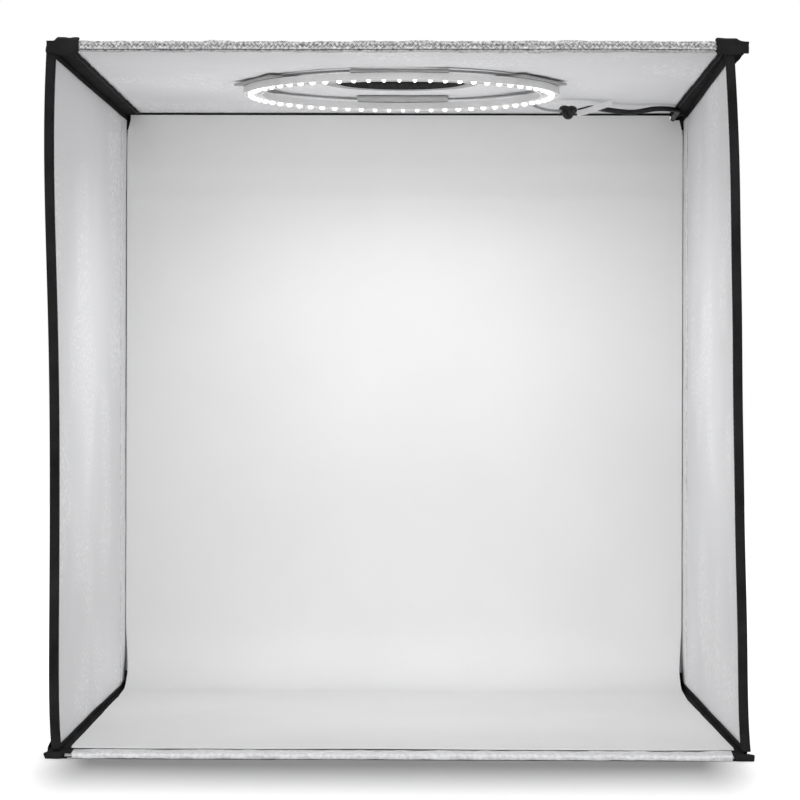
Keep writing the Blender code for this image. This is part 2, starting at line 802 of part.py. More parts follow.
def build_hatch(hatch, roof, finishes):
    """A square fabric flap over the viewing hole, with a pull tab and a sewn hinge strip."""
    low_y, high_y = HOLE_Y - HATCH_HALF, HOLE_Y + HATCH_HALF
    base = ROOF_TOP + GAP
    top = hatch_top()
    flap_low = base + HATCH_TAPE_T + GAP
    inset = HATCH_TAPE_T + GAP
    block(
        "hatch_flap",
        (-HATCH_HALF + inset, low_y + inset, flap_low),
        (HATCH_HALF - inset, high_y - inset, flap_low + HATCH_FLAP_T),
        hatch,
        finishes["black_fabric"],
    )
    edge = block(
        "hatch_binding",
        (-HATCH_HALF, low_y, base),
        (HATCH_HALF, high_y, top),
        hatch,
        finishes["tape"],
    )
    cut_box(
        edge,
        (-HATCH_HALF + HATCH_TAPE_T, low_y + HATCH_TAPE_T, base + HATCH_TAPE_T),
        (HATCH_HALF - HATCH_TAPE_T, high_y - HATCH_TAPE_T, top - HATCH_TAPE_T),
    )
    reach = HATCH_HALF - HATCH_TAPE_W
    cut_box(
        edge,
        (-reach, HOLE_Y - reach, base - OVERRUN),
        (reach, HOLE_Y + reach, top + OVERRUN),
    )
    middle = (base + top) / 2
    block(
        "hatch_pull_tab",
        (-TAB_W / 2, low_y - GAP - TAB_L, middle - TAB_T / 2),
        (TAB_W / 2, low_y - GAP, middle + TAB_T / 2),
        hatch,
        finishes["tape"],
    )
    block(
        "hatch_hinge_strip",
        (-STRIP_L / 2, high_y + GAP, COVER_Z + GAP),
        (STRIP_L / 2, high_y + GAP + STRIP_W, COVER_Z + GAP + STRIP_T),
        roof,
        finishes["tape"],
    )


def hatch_top():
    return ROOF_TOP + GAP + HATCH_FLAP_T + 2 * (HATCH_TAPE_T + GAP)


def on_circle(radius, degrees, height):
    """A place at a turn and a distance from the ring's middle."""
    angle = math.radians(degrees)
    return Vector((radius * math.cos(angle), radius * math.sin(angle), height))


def route_between(start, end, shares):
    """A cord's route from one end to the other, by shares of the way along X, Y and Z."""
    way = end - start
    between = [start + Vector(w * s for w, s in zip(way, share)) for share in shares]
    return [start, *between, end]


def lead_end():
    """Where the cord under the roof meets the cord that leaves through the notch."""
    return Vector((NOTCH_X, REAR_FACE - LEAD_END_ROOM, ROOF_BASE - LEAD_DROP))


def build_roof_lead(roof, finishes):
    """The ring's thin lead, the knot, the thicker cord to the corner and its white ribbon."""
    knot_out = RING_OUT_R + KNOT_FROM_RING
    knot = on_circle(knot_out, KNOT_TURN, ROOF_BASE - KNOT_DROP)
    start = on_circle(RING_OUT_R + RING_LEAD_ROOM, RING_LEAD_TURN, ROOF_BASE - RING_LEAD_DROP)
    end = on_circle(knot_out - KNOT_R - KNOT_ROOM, KNOT_TURN, knot.z)
    route = route_between(start, end, RING_LEAD_SHARES)
    points, _ = smooth_route(route, 2 * THIN_LEAD_D)
    tube("ring_lead", points, THIN_LEAD_D / 2, roof, finishes["grey_tape"], 2)
    form = bmesh.new()
    bmesh.ops.create_icosphere(form, subdivisions=3, radius=KNOT_R)
    for vert in form.verts:
        way = vert.co.normalized()
        lump = math.sin(KNOT_LUMPS * way.x * math.pi) * math.cos(KNOT_LUMPS * way.z * math.pi)
        vert.co = knot + vert.co * (1 - KNOT_LUMP_SHARE + KNOT_LUMP_SHARE * lump)
    solid("lead_knot", form, roof, finishes["cord"], smooth=True)
    start = knot + Vector((KNOT_R + LEAD_KNOT_ROOM, 0, LEAD_START_RISE))
    route = route_between(start, lead_end(), LEAD_SHARES)
    points, _ = smooth_route(route, 2 * CORD_D)
    tube("roof_cord", points, CORD_R, roof, finishes["cord"], 2)
    left, right = knot.x + KNOT_R + GAP, route[3].x
    low = knot.z - RIBBON_DROP
    high = LINER_Z - GAP
    rise = (high - low) * RIBBON_RISE_SHARE
    outline = [(left, low), (right, high - rise), (right, high), (left, low + rise)]
    middle = knot.y - RIBBON_SIDE
    form = prism_form(outline, middle - RIBBON_T / 2, middle + RIBBON_T / 2, 1)
    solid("cord_ribbon", form, roof, finishes["white_plastic"])


def coil_place(turn):
    """The middle of the coiled cord, a number of turns from its start."""
    outer = COIL_MEAN_R + COIL_PITCH * COIL_TURNS / 2
    inner = outer - COIL_PITCH * COIL_TURNS
    low = TIE_T + GAP + CORD_R
    if turn < COIL_TURNS:
        radius, height = outer - COIL_PITCH * turn, low
    elif turn < COIL_TURNS + 0.5:
        share = (turn - COIL_TURNS) / 0.5
        radius = inner - COIL_PITCH * 0.5 / math.pi * math.sin(math.pi * share)
        height = low + COIL_PITCH * (1 - math.cos(math.pi * share)) / 2
    else:
        radius = inner + COIL_PITCH * (turn - COIL_TURNS - 0.5)
        height = low + COIL_PITCH
    angle = -math.pi / 2 - math.tau * turn
    return Vector((COIL_X + radius * math.cos(angle), COIL_Y + radius * math.sin(angle), height))


def coil_points():
    """The coil's points, with a straight end of one cord diameter at each end."""
    turns = 2 * COIL_TURNS + 0.5
    count = round(turns * LOOP_POINTS)
    points = [coil_place(turns * i / count) for i in range(count + 1)]
    first = (points[0] - points[1]).normalized()
    last = (points[-1] - points[-2]).normalized()
    return [points[0] + first * CORD_D, *points, points[-1] + last * CORD_D]


def least_gap(points, skip):
    """The least room between two stretches of one cord, measured on its points."""
    least = min(
        (a - b).length for i, a in enumerate(points) for b in points[i + skip :]
    )
    return least - CORD_D


def build_coil(root, finishes):
    points = coil_points()
    room = least_gap(points, LOOP_POINTS // 2)
    length = sum((b - a).length for a, b in zip(points, points[1:]))
    print(f"coil: {length:.4f} m of cord, least gap to itself {room * 1000:.2f} mm")
    tube("cord_coil", points, CORD_R, root, finishes["cord"], 1)
    half_band = COIL_PITCH * COIL_TURNS / 2
    inner_x = COIL_X + COIL_MEAN_R - half_band - TIE_ROOM
    outer_x = COIL_X + COIL_MEAN_R + half_band
    high = TIE_T + 2 * GAP + CORD_D + COIL_PITCH
    tie = block(
        "coil_tie",
        (inner_x - TIE_T, COIL_Y - TIE_W / 2, 0),
        (outer_x + TIE_T, COIL_Y + TIE_W / 2, high + TIE_T),
        root,
        finishes["tape"],
    )
    cut_box(tie, (inner_x, COIL_Y - TIE_W, TIE_T), (outer_x, COIL_Y + TIE_W, high))
    return points


def shifted(points, x, y, z):
    """A table of places, moved to the point that they are given from."""
    return [Vector(point) + Vector((x, y, z)) for point in points]


def build_free_cord(root, coil, finishes):
    """The cord behind the cube: down from the notch, to the dimmer, the coil and the plug."""
    seam = DIMMER_H / 2
    route = [
        lead_end() + Vector((0, GAP, 0)),
        *shifted(DROP_FROM_ROOF, NOTCH_X, HALF_D, ROOF_BASE),
        *shifted(DROP_FROM_FLOOR, NOTCH_X, HALF_D, 0),
        Vector((DIMMER_RIGHT + GAP, DIMMER_Y, seam)),
    ]
    points, drop = smooth_route(route, 2 * CORD_D)
    tube("cord_drop", points, CORD_R, root, finishes["cord"], 2)
    way = (coil[0] - coil[1]).normalized()
    route = [
        Vector((DIMMER_LEFT - GAP, DIMMER_Y, seam)),
        *shifted(LINK_FROM_DIMMER, DIMMER_LEFT, DIMMER_Y, 0),
        coil[0] + way * (CORD_D + GAP),
        coil[0] + way * GAP,
    ]
    points, link = smooth_route(route, 2 * CORD_D)
    tube("cord_link", points, CORD_R, root, finishes["cord"], 2)
    way = (coil[-1] - coil[-2]).normalized()
    route = [
        coil[-1] + way * GAP,
        coil[-1] + way * (CORD_D + GAP),
        *shifted(TAIL_FROM_COIL, COIL_X, COIL_Y, 0),
        Vector((PLUG_X - GAP, PLUG_Y, PLUG_Z)),
    ]
    points, tail = smooth_route(route, 2 * CORD_D)
    tube("cord_tail", points, CORD_R, root, finishes["cord"], 2)
    print(f"cord: drop {drop:.4f} m, link {link:.4f} m, tail {tail:.4f} m")


def build_dimmer(root, button_body, finishes):
    """A small two-part case on the cord, with one push button."""
    left, right = DIMMER_LEFT, DIMMER_RIGHT
    near, far = DIMMER_Y - DIMMER_W / 2, DIMMER_Y + DIMMER_W / 2
    seam = DIMMER_H / 2
    wall = DIMMER_WALL
    lower = block(
        "dimmer_case_lower", (left, near, 0), (right, far, seam - GAP / 2), root,
        finishes["black_plastic"],
    )
    upper = block(
        "dimmer_case_upper", (left, near, seam + GAP / 2), (right, far, DIMMER_H), root,
        finishes["black_plastic"],
    )
    for piece in (lower, upper):
        bevel = piece.modifiers.new("soft edges", "BEVEL")
        bevel.width = DIMMER_ROUND / 2
        bevel.segments = 2
    cut_box(lower, (left + wall, near + wall, wall), (right - wall, far - wall, DIMMER_H))
    cut_box(upper, (left + wall, near + wall, 0), (right - wall, far - wall, DIMMER_H - wall))
    centre_x = (left + right) / 2
    half_l, half_w = BUTTON_L / 2, BUTTON_W / 2
    cut_box(
        upper,
        (centre_x - half_l - SLIDE_CLEAR, DIMMER_Y - half_w - SLIDE_CLEAR, seam),
        (centre_x + half_l + SLIDE_CLEAR, DIMMER_Y + half_w + SLIDE_CLEAR, DIMMER_H + OVERRUN),
    )
    under = DIMMER_H - wall - SLIDE_CLEAR
    button = block(
        "dimmer_button",
        (centre_x - half_l, DIMMER_Y - half_w, under - BUTTON_FLANGE_T),
        (centre_x + half_l, DIMMER_Y + half_w, DIMMER_H + BUTTON_TRAVEL + BUTTON_LEFT_PROUD),
        button_body,
        finishes["grey_plastic"],
    )
    flange_l, flange_w = half_l + BUTTON_FLANGE, half_w + BUTTON_FLANGE
    flange = box_form(
        (centre_x - flange_l, DIMMER_Y - flange_w, under - BUTTON_FLANGE_T),
        (centre_x + flange_l, DIMMER_Y + flange_w, under),
    )
    combine(button, flange, "UNION")


def build_plug(root, finishes):
    """A plug: a moulded grip, a folded metal shell and the plate with its contacts."""
    middle = PLUG_Z
    block(
        "plug_grip",
        (PLUG_X, PLUG_Y - GRIP_W / 2, 0),
        (PLUG_X + GRIP_L, PLUG_Y + GRIP_W / 2, GRIP_H),
        root,
        finishes["black_plastic"],
        PLUG_ROUND,
    )
    start = PLUG_X + GRIP_L + GAP
    end = start + SHELL_L
    shell = block(
        "plug_shell",
        (start, PLUG_Y - SHELL_W / 2, middle - SHELL_H / 2),
        (end, PLUG_Y + SHELL_W / 2, middle + SHELL_H / 2),
        root,
        finishes["steel"],
    )
    inner_w, inner_h = SHELL_W / 2 - SHELL_WALL, SHELL_H / 2 - SHELL_WALL
    cut_box(
        shell,
        (start + SHELL_WALL, PLUG_Y - inner_w, middle - inner_h),
        (end + OVERRUN, PLUG_Y + inner_w, middle + inner_h),
    )
    plate_high = middle + inner_h - GAP
    block(
        "plug_contact_plate",
        (start + SHELL_WALL + GAP, PLUG_Y - inner_w + GAP, plate_high - TONGUE_T),
        (end - SHELL_WALL, PLUG_Y + inner_w - GAP, plate_high),
        root,
        finishes["white_plastic"],
    )


def make_finishes():
    cover = material("black cover fabric", (0.030, 0.030, 0.032), 0.85)
    board = material("stiffener board", (0.55, 0.55, 0.54), 0.70)
    liner = material("silver liner", (0.72, 0.72, 0.73), 0.38, 0.25)
    return {
        "panel": (cover, board, liner),
        "liner": liner,
        "black_fabric": cover,
        "tape": material("black edge tape", (0.022, 0.022, 0.022), 0.80),
        "grey_tape": material("grey hook and loop", (0.35, 0.35, 0.35), 0.90),
        "silver": material("silver crinkled hem", (0.62, 0.62, 0.64), 0.35, 0.35),
        "sheet": material("white backdrop sheet", (0.80, 0.80, 0.80), 0.60),
        "ring": material("white ring housing", (0.78, 0.78, 0.78), 0.45),
        "lamp": material("ring lamps", (0.95, 0.95, 0.92), 0.30),
        "cord": material("black cord jacket", (0.020, 0.020, 0.020), 0.50),
        "rubber": material("black rubber", (0.025, 0.025, 0.025), 0.70),
        "white_plastic": material("white plastic", (0.80, 0.80, 0.80), 0.45),
        "black_plastic": material("black plastic", (0.025, 0.025, 0.025), 0.45),
        "grey_plastic": material("grey plastic", (0.30, 0.30, 0.30), 0.50),
        "steel": material("plated steel", (0.70, 0.70, 0.70), 0.25, 1.0),
    }


clear_scene()
body("helpers")
finish_set = make_finishes()
root_body = body("root")
roof_body = body("roof", (0, HALF_D + HINGE_OUT, ROOF_BASE - GAP / 2))
hatch_body = body("hatch", (0, HOLE_Y + HATCH_HALF + HATCH_AXIS_BACK, hatch_top() + GAP))
build_floor(root_body, finish_set)
build_rear_wall(root_body, finish_set)
build_backdrop(root_body, finish_set)
for wall_side, wall_name in ((-1, "left_wall"), (1, "right_wall")):
    wall_body = body(wall_name, (wall_side * (HALF_W + HINGE_OUT), 0, HINGE_OUT))
    build_wall(wall_side, wall_name, wall_body, root_body, finish_set)
patch_under = build_roof(roof_body, root_body, finish_set)
build_ring_light(roof_body, patch_under, finish_set)
build_roof_lead(roof_body, finish_set)
build_hatch(hatch_body, roof_body, finish_set)
coil_route = build_coil(root_body, finish_set)
build_free_cord(root_body, coil_route, finish_set)
button_place = ((DIMMER_LEFT + DIMMER_RIGHT) / 2, DIMMER_Y, DIMMER_H)
build_dimmer(root_body, body("dimmer_button_body", button_place), finish_set)
build_plug(root_body, finish_set)
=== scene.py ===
import math

import bmesh
import bpy
import numpy as np
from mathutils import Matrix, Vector


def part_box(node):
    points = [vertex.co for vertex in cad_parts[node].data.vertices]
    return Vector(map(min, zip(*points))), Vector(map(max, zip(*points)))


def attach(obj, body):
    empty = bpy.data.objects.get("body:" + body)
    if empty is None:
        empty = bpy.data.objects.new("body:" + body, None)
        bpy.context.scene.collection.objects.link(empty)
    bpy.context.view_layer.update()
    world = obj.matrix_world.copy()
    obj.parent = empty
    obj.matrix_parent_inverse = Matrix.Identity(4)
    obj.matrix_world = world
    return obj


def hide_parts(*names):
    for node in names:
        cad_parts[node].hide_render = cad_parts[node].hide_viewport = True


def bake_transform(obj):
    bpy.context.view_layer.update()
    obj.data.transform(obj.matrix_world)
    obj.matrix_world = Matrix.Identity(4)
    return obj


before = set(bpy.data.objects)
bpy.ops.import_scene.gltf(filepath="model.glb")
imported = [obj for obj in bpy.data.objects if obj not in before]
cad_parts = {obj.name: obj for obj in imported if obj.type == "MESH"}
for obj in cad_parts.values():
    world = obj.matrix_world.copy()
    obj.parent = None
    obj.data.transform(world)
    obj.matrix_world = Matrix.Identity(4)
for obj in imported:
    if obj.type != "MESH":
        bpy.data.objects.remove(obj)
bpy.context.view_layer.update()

# The size of the imported model is kept.
for thing in bpy.context.selected_objects:
    thing.select_set(False)


# Camera
# A long lens stands level, half the tent's height up and about two metres from its open
# front, a little right of the middle and turned slightly to the left.
camera_data = bpy.data.cameras.new("tent_camera")
camera_data.lens = 137.34
camera_data.sensor_width = 36
camera_data.clip_start = 0.05
camera = bpy.data.objects.new("tent_camera", camera_data)
bpy.context.collection.objects.link(camera)
camera.location = (0.0245, -1.944, 0.2057)
camera.rotation_euler = (math.radians(90), math.radians(-0.15), math.radians(0.732))
bpy.context.scene.camera = camera
bpy.context.scene.view_settings.view_transform = "Standard"


# Table top, backdrop colour and lamps
# A plain white table with the tent's soft shadow, partly cast by the lamps and partly
# painted where its glow is held back, a white surround, and broad soft lamps above and in
# front, at a level that leaves every colour as it is written.
WHITE = (1, 1, 1, 1)


def set_inputs(node, inputs):
    """Links an input to a given socket, or gives it a plain value."""
    for key, value in inputs.items():
        if isinstance(value, bpy.types.NodeSocket):
            node.id_data.links.new(value, node.inputs[key])
        else:
            node.inputs[key].default_value = value


def new_material(name, colour, roughness, metallic=0.0):
    made = bpy.data.materials.new(name)
    made.use_nodes = True
    made.diffuse_color = (*colour, 1)
    shader = made.node_tree.nodes["Principled BSDF"]
    set_inputs(shader, {"Base Color": (*colour, 1), "Roughness": roughness,
                        "Metallic": metallic})
    return made, made.node_tree, shader


def add_node(tree, kind, inputs=None, **settings):
    made = tree.nodes.new("ShaderNode" + kind)
    for key, value in settings.items():
        setattr(made, key, value)
    set_inputs(made, inputs or {})
    return made


def calculate(tree, operation, *values, kind="Math"):
    return add_node(tree, kind, dict(enumerate(values)), operation=operation).outputs[0]


def remap(tree, value, low, high, to_low=0.0, to_high=1.0):
    return add_node(tree, "MapRange", {"Value": value, "From Min": low, "From Max": high,
                                       "To Min": to_low, "To Max": to_high}).outputs[0]


AIR_LIGHT = 0.53
world = bpy.data.worlds.new("white_surround")
bpy.context.scene.world = world
world.use_nodes = True
surround = world.node_tree
surround.nodes.clear()
seen = add_node(surround, "LightPath").outputs
direct = calculate(surround, "MAXIMUM", seen["Is Camera Ray"], seen["Is Glossy Ray"])
direct = calculate(surround, "MAXIMUM", direct, seen["Is Transmission Ray"])
air = add_node(surround, "Background", {
    "Color": WHITE, "Strength": remap(surround, direct, 0.0, 1.0, AIR_LIGHT, 1.0)})
add_node(surround, "OutputWorld", {"Surface": air.outputs[0]})

bpy.ops.mesh.primitive_plane_add(size=8, location=(0, 0, -0.0002))
table_top = bpy.context.object
table_top.name = "table_top"
bpy.ops.object.transform_apply(location=True, rotation=True, scale=True)

# The table glows for the camera alone, but not round the tent: there the glow is held back,
# which paints a soft shadow before the front edge that fades out at the tent's sides.
SHADE_AREA, SIDE_FADE = (0.17, 0.2, 1), (5, 1, 1)
SHADE_NEAR, SHADE_FAR, TABLE_GLOW = 0.026, 0.20, 0.86
table_white, tree, shader = new_material("table_white", (0.48, 0.48, 0.48), 0.9)
seen = add_node(tree, "LightPath").outputs["Is Camera Ray"]
reach = add_node(tree, "TexCoord").outputs["Object"]
for operation, values in (("ABSOLUTE", ()), ("SUBTRACT", (SHADE_AREA,)),
                          ("MAXIMUM", ((0, 0, 0),)), ("MULTIPLY", (SIDE_FADE,))):
    reach = calculate(tree, operation, reach, *values, kind="VectorMath")
away = add_node(tree, "VectorMath", {0: reach}, operation="LENGTH").outputs["Value"]
paling = remap(tree, away, SHADE_NEAR, SHADE_FAR, 0.0, TABLE_GLOW)
set_inputs(shader, {"Specular IOR Level": 0.1, "Emission Color": WHITE,
                    "Emission Strength": calculate(tree, "MULTIPLY", seen, paling)})
table_top.data.materials.append(table_white)
table_top.select_set(False)


def soft_lamp(name, place, aim, size, power):
    lamp = bpy.data.lights.new(name, "AREA")
    lamp.shape = "RECTANGLE"
    lamp.size, lamp.size_y = size
    lamp.energy = power
    made = bpy.data.objects.new(name, lamp)
    bpy.context.collection.objects.link(made)
    made.location = place
    made.rotation_euler = (Vector(aim) - Vector(place)).to_track_quat("-Z", "Y").to_euler()
    return made


soft_lamp("overhead_lamp", (0.0, 0.35, 2.3), (0, -0.1, 0.0), (2.4, 0.6), 17)
front_lamp = soft_lamp("front_lamp", (-0.7, -2.4, 0.45), (0, 0, 0.2), (1.8, 0.9), 16.5)
front_fill = soft_lamp("front_fill_lamp", (0.9, -2.4, 0.35), (0, 0, 0.2), (1.6, 0.7), 11)
floor_bounce = soft_lamp("floor_bounce_lamp", (0, -0.06, 0.012), (0, -0.06, 1), (0.22, 0.22),
                         0.23)
floor_bounce.data.spread = math.radians(110)
floor_bounce.visible_camera = False
floor_bounce.visible_glossy = False

# The lamps in front light the tent alone, so that the table keeps its shadow.
beside_lamps = bpy.data.collections.new("table_kept_in_shadow")
beside_lamps.objects.link(table_top)
beside_lamps.collection_objects[0].light_linking.link_state = "EXCLUDE"
for lamp in (front_lamp, front_fill, floor_bounce):
    lamp.light_linking.receiver_collection = beside_lamps


# Black cord, from the notch down the rear wall to its dimmer
# A round black jacket 3.5 mm thick leaves the notch at the upper right rear corner and
# hangs outside to the in-line dimmer. Beyond it the spare length is wound in a coil.
CORD_X, CORD_D = 0.1875, 0.0035
CORD_START = (CORD_X, 0.1900, 0.4031)
CORD_GAP = 0.0025  # between the points of a cord's line
CURVE_STEPS = 24


def smooth_route(points, gap):
    """Points of a smooth curve through the given ones, evenly spaced along it."""
    points = [Vector(p) for p in points]
    ends = [2 * points[0] - points[1], *points, 2 * points[-1] - points[-2]]
    fine = []
    for a, b, c, d in zip(ends, ends[1:], ends[2:], ends[3:]):
        for step in range(CURVE_STEPS):
            t = step / CURVE_STEPS
            fine.append(0.5 * (2 * b + (c - a) * t + (2 * a - 5 * b + 4 * c - d) * t * t
                               + (3 * b - a - 3 * c + d) * t ** 3))
    fine.append(points[-1])
    runs = [0.0]
    for a, b in zip(fine, fine[1:]):
        runs.append(runs[-1] + (b - a).length)
    count = max(2, round(runs[-1] / gap))
    line, k = [], 0
    for step in range(count + 1):
        want = runs[-1] * step / count
        while k < len(runs) - 2 and runs[k + 1] < want:
            k += 1
        share = (want - runs[k]) / max(runs[k + 1] - runs[k], 1e-9)
        line.append(fine[k].lerp(fine[k + 1], min(1, max(0, share))))
    return line


def tube(name, line, radius, sides=12):
    """A closed round tube along a line, with a pattern map that runs along its length."""
    form = bmesh.new()
    turn_map = form.loops.layers.uv.new("along")
    way = (line[1] - line[0]).normalized()
    side = way.orthogonal().normalized()
    rings, runs, run = [], [], 0.0
    for i, place in enumerate(line):
        ahead = line[min(i + 1, len(line) - 1)] - line[max(i - 1, 0)]
        fresh = ahead.normalized()
        side = way.rotation_difference(fresh) @ side
        side = (side - fresh * side.dot(fresh)).normalized()
        way = fresh
        up = way.cross(side)
        run += (place - line[i - 1]).length if i else 0
        runs.append(run)
        rings.append([form.verts.new(place + radius * (math.cos(a) * side + math.sin(a) * up))
                      for a in (math.tau * k / sides for k in range(sides))])
    for i, (here, after) in enumerate(zip(rings, rings[1:])):
        for k in range(sides):
            j = (k + 1) % sides
            face = form.faces.new((here[k], here[j], after[j], after[k]))
            face.smooth = True
            spots = ((runs[i], k), (runs[i], k + 1), (runs[i + 1], k + 1), (runs[i + 1], k))
            for loop, (far, turn) in zip(face.loops, spots):
                loop[turn_map].uv = (far, turn / sides * math.tau * radius)
    form.faces.new(list(reversed(rings[0])))
    form.faces.new(rings[-1])
    bmesh.ops.recalc_face_normals(form, faces=form.faces)
    data = bpy.data.meshes.new(name)
    form.to_mesh(data)
    form.free()
    made = bpy.data.objects.new(name, data)
    bpy.context.collection.objects.link(made)
    return made


def present(piece, material, slot_name, body, *nodes):
    """Gives a piece its material, hides the nodes that it replaces and gives it its body. The
    slot name is not used.
    """
    piece.data.materials.clear()
    piece.data.materials.append(material)
    if nodes:
        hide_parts(*nodes)
    if body:
        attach(piece, body)
    return piece


def effect(name, outputs, **values):
    """A shared node group with a vector and some values given, its inputs and its output."""
    tree = bpy.data.node_groups.new(name, "ShaderNodeTree")
    tree.interface.new_socket(name="Vector", in_out="INPUT", socket_type="NodeSocketVector")
    for in_out, labels in (("INPUT", values), ("OUTPUT", outputs)):
        for label in labels:
            made = tree.interface.new_socket(name=label, in_out=in_out,
                                             socket_type="NodeSocketFloat")
            made.default_value = values.get(label, 0.0)
    return tree, tree.nodes.new("NodeGroupInput").outputs, tree.nodes.new("NodeGroupOutput")


# Fine mottling of a surface: a slow drift of shade, and a finer grain for the bump.
mottle, given, given_back = effect("surface_mottle", ("Shade", "Height"), Drift=18.0,
                                   Grain=1400.0)
for scale, detail, result in (("Drift", 3.0, "Shade"), ("Grain", 2.0, "Height")):
    noise = add_node(mottle, "TexNoise", {"Vector": given["Vector"], "Scale": given[scale],
                                          "Detail": detail})
    mottle.links.new(noise.outputs["Fac"], given_back.inputs[result])


def mottled(tree, drift, grain):
    place = add_node(tree, "TexCoord").outputs["Object"]
    return add_node(tree, "Group", {"Vector": place, "Drift": drift, "Grain": grain},
                    node_tree=mottle).outputs


SHADE_BAND = (0.3, 0.7)  # the part of the noise that runs from dark to light


def grey(level):
    return (level, level, level)


def colour_by(tree, shader, shade, dark, light, rough):
    """Colour and roughness that follow a mask of shade."""
    spread = remap(tree, shade, *SHADE_BAND)
    blend = add_node(tree, "Mix", {"Factor": spread, "A": (*dark, 1), "B": (*light, 1)},
                     data_type="RGBA")
    set_inputs(shader, {"Base Color": blend.outputs["Result"],
                        "Roughness": remap(tree, spread, 0.0, 1.0, *rough)})


def add_relief(tree, shader, height, strength, distance):
    relief = add_node(tree, "Bump", {"Height": height, "Strength": strength,
                                     "Distance": distance})
    tree.links.new(relief.outputs[0], shader.inputs["Normal"])


def plain_material(name, dark, light, rough, drift, grain, strength=0.0, distance=0.0001,
                   metallic=0.0, more=None):
    """A surface of one substance, mottled from dark to light, with a fine relief."""
    made, tree, shader = new_material(name, light, rough[0], metallic)
    worn = mottled(tree, drift, grain)
    colour_by(tree, shader, worn["Shade"], dark, light, rough)
    if strength:
        add_relief(tree, shader, worn["Height"], strength, distance)
    set_inputs(shader, more or {})
    return made


cord_black = plain_material("cord_black", (0.014, 0.014, 0.015), (0.03, 0.03, 0.031),
                            (0.36, 0.52), 60.0, 2600.0, 0.12,
                            more={"Specular IOR Level": 0.2})
drop_route = smooth_route((
    CORD_START, (0.1875, 0.1920, 0.4031), (0.1875, 0.1965, 0.4003),
    (0.1875, 0.2000, 0.3966), (0.1875, 0.2035, 0.3916), (0.1875, 0.2062, 0.3841),
    (0.1878, 0.2070, 0.3611), (0.1885, 0.2064, 0.3011), (0.1880, 0.2060, 0.2211),
    (0.1868, 0.2066, 0.1400), (0.1862, 0.2072, 0.0700), (0.1860, 0.2080, 0.0320),
    (0.1845, 0.2097, 0.0120), (0.1780, 0.2122, 0.0038), (0.1690, 0.2139, 0.0030),
    (0.1610, 0.2141, 0.0043), (0.1553, 0.2141, 0.0045),
), CORD_GAP)
cord_to_dimmer = present(tube("cord_to_dimmer", drop_route, CORD_D / 2), cord_black,
                         "cord_jacket", None, "cord_drop")
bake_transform(cord_to_dimmer)


# Spare cord beyond the dimmer, in a flat two-layer coil
# The same jacket winds inward on the table and back outward on top of itself, and ends
# in its plug. A black tie holds the turns together.
SPARE_START = (0.1087, 0.2141, 0.0045)
COIL_MIDDLE, COIL_Z = (0.058, 0.242), 0.00255
COIL_OUTER, COIL_INNER, COIL_PITCH = 0.028, 0.012, 0.004
TURNS_INWARD, CLIMB, COIL_STEPS = 4, 0.5, 24
coil_line = []
for step in range(int((2 * TURNS_INWARD + CLIMB) * COIL_STEPS) + 1):
    turn = step / COIL_STEPS
    past = turn - TURNS_INWARD
    if past < 0:
        radius, height = COIL_OUTER - COIL_PITCH * turn, COIL_Z
    elif past < CLIMB:
        share = past / CLIMB
        radius = COIL_INNER - COIL_PITCH * CLIMB / math.pi * math.sin(math.pi * share)
        height = COIL_Z + COIL_PITCH * (1 - math.cos(math.pi * share)) / 2
    else:
        radius, height = COIL_INNER + COIL_PITCH * (past - CLIMB), COIL_Z + COIL_PITCH
    angle = -math.pi / 2 - math.tau * turn
    coil_line.append((COIL_MIDDLE[0] + radius * math.cos(angle),
                      COIL_MIDDLE[1] + radius * math.sin(angle), height))
link_points = (
    SPARE_START, (0.1020, 0.2141, 0.0044), (0.0850, 0.2136, 0.0030),
    (0.0720, 0.2136, 0.0026), (0.0652, 0.2129, 0.0026), (0.0618, 0.2134, 0.0026),
)
tail_points = (
    (0.0618, 0.2706, 0.0066), (0.0652, 0.2711, 0.0066), (0.0750, 0.2705, 0.0060),
    (0.0900, 0.2722, 0.0030), (0.1040, 0.2716, 0.0026), (0.1150, 0.2712, 0.0038),
    (0.1220, 0.2712, 0.0040),
)
spare_route = smooth_route((*link_points, *coil_line, *tail_points), CORD_GAP)
spare_cord = present(tube("spare_cord", spare_route, CORD_D / 2), cord_black,
                     "cord_jacket", "root", "cord_link", "cord_coil", "cord_tail")


# Floor panel
# A stiff board between black coated cloth below and silver cloth above. Black tape binds
# its sides and rear edge, and a crinkled silver hem closes its front edge.
HALF = 0.200
FLOOR_T = 0.0050
WALL_BASE, WALL_TOP = 0.0053, 0.4051
REAR_FACE = 0.1950
ROOF_BASE, ROOF_TOP = 0.4054, 0.4110
TAPE_T, TAPE_OUTSIDE = 0.0005, ((0.012, 0.012), (None, 0.012))
MERGE = 1e-6  # points closer than this are one
FLAT_AXES = ((1, 2), (0, 2), (0, 1))  # where a panel lies that is thin along x, y or z
SEAM_X = 0.1875  # seams of the floor, from the middle
SEAM_Y = (-0.185, 0.190)  # front and rear end of the seams along the sides


def select_only(piece):
    bpy.ops.object.select_all(action="DESELECT")
    piece.select_set(True)
    bpy.context.view_layer.objects.active = piece


def edit(piece):
    select_only(piece)
    bpy.ops.object.mode_set(mode="EDIT")
    bpy.ops.mesh.select_all(action="SELECT")


def object_mode():
    bpy.ops.object.mode_set(mode="OBJECT")


def apply_modifier(piece, kind, **settings):
    select_only(piece)
    made = piece.modifiers.new(kind.lower(), kind)
    for key, value in settings.items():
        setattr(made, key, value)
    bpy.ops.object.modifier_apply(modifier=made.name)


def added(name, scale=(1, 1, 1)):
    """Names the primitive that was just added, with its place and size in its mesh."""
    made = bpy.context.object
    made.name = name
    made.data.name = name
    made.scale = scale
    bpy.ops.object.transform_apply(location=True, rotation=True, scale=True)
    return made


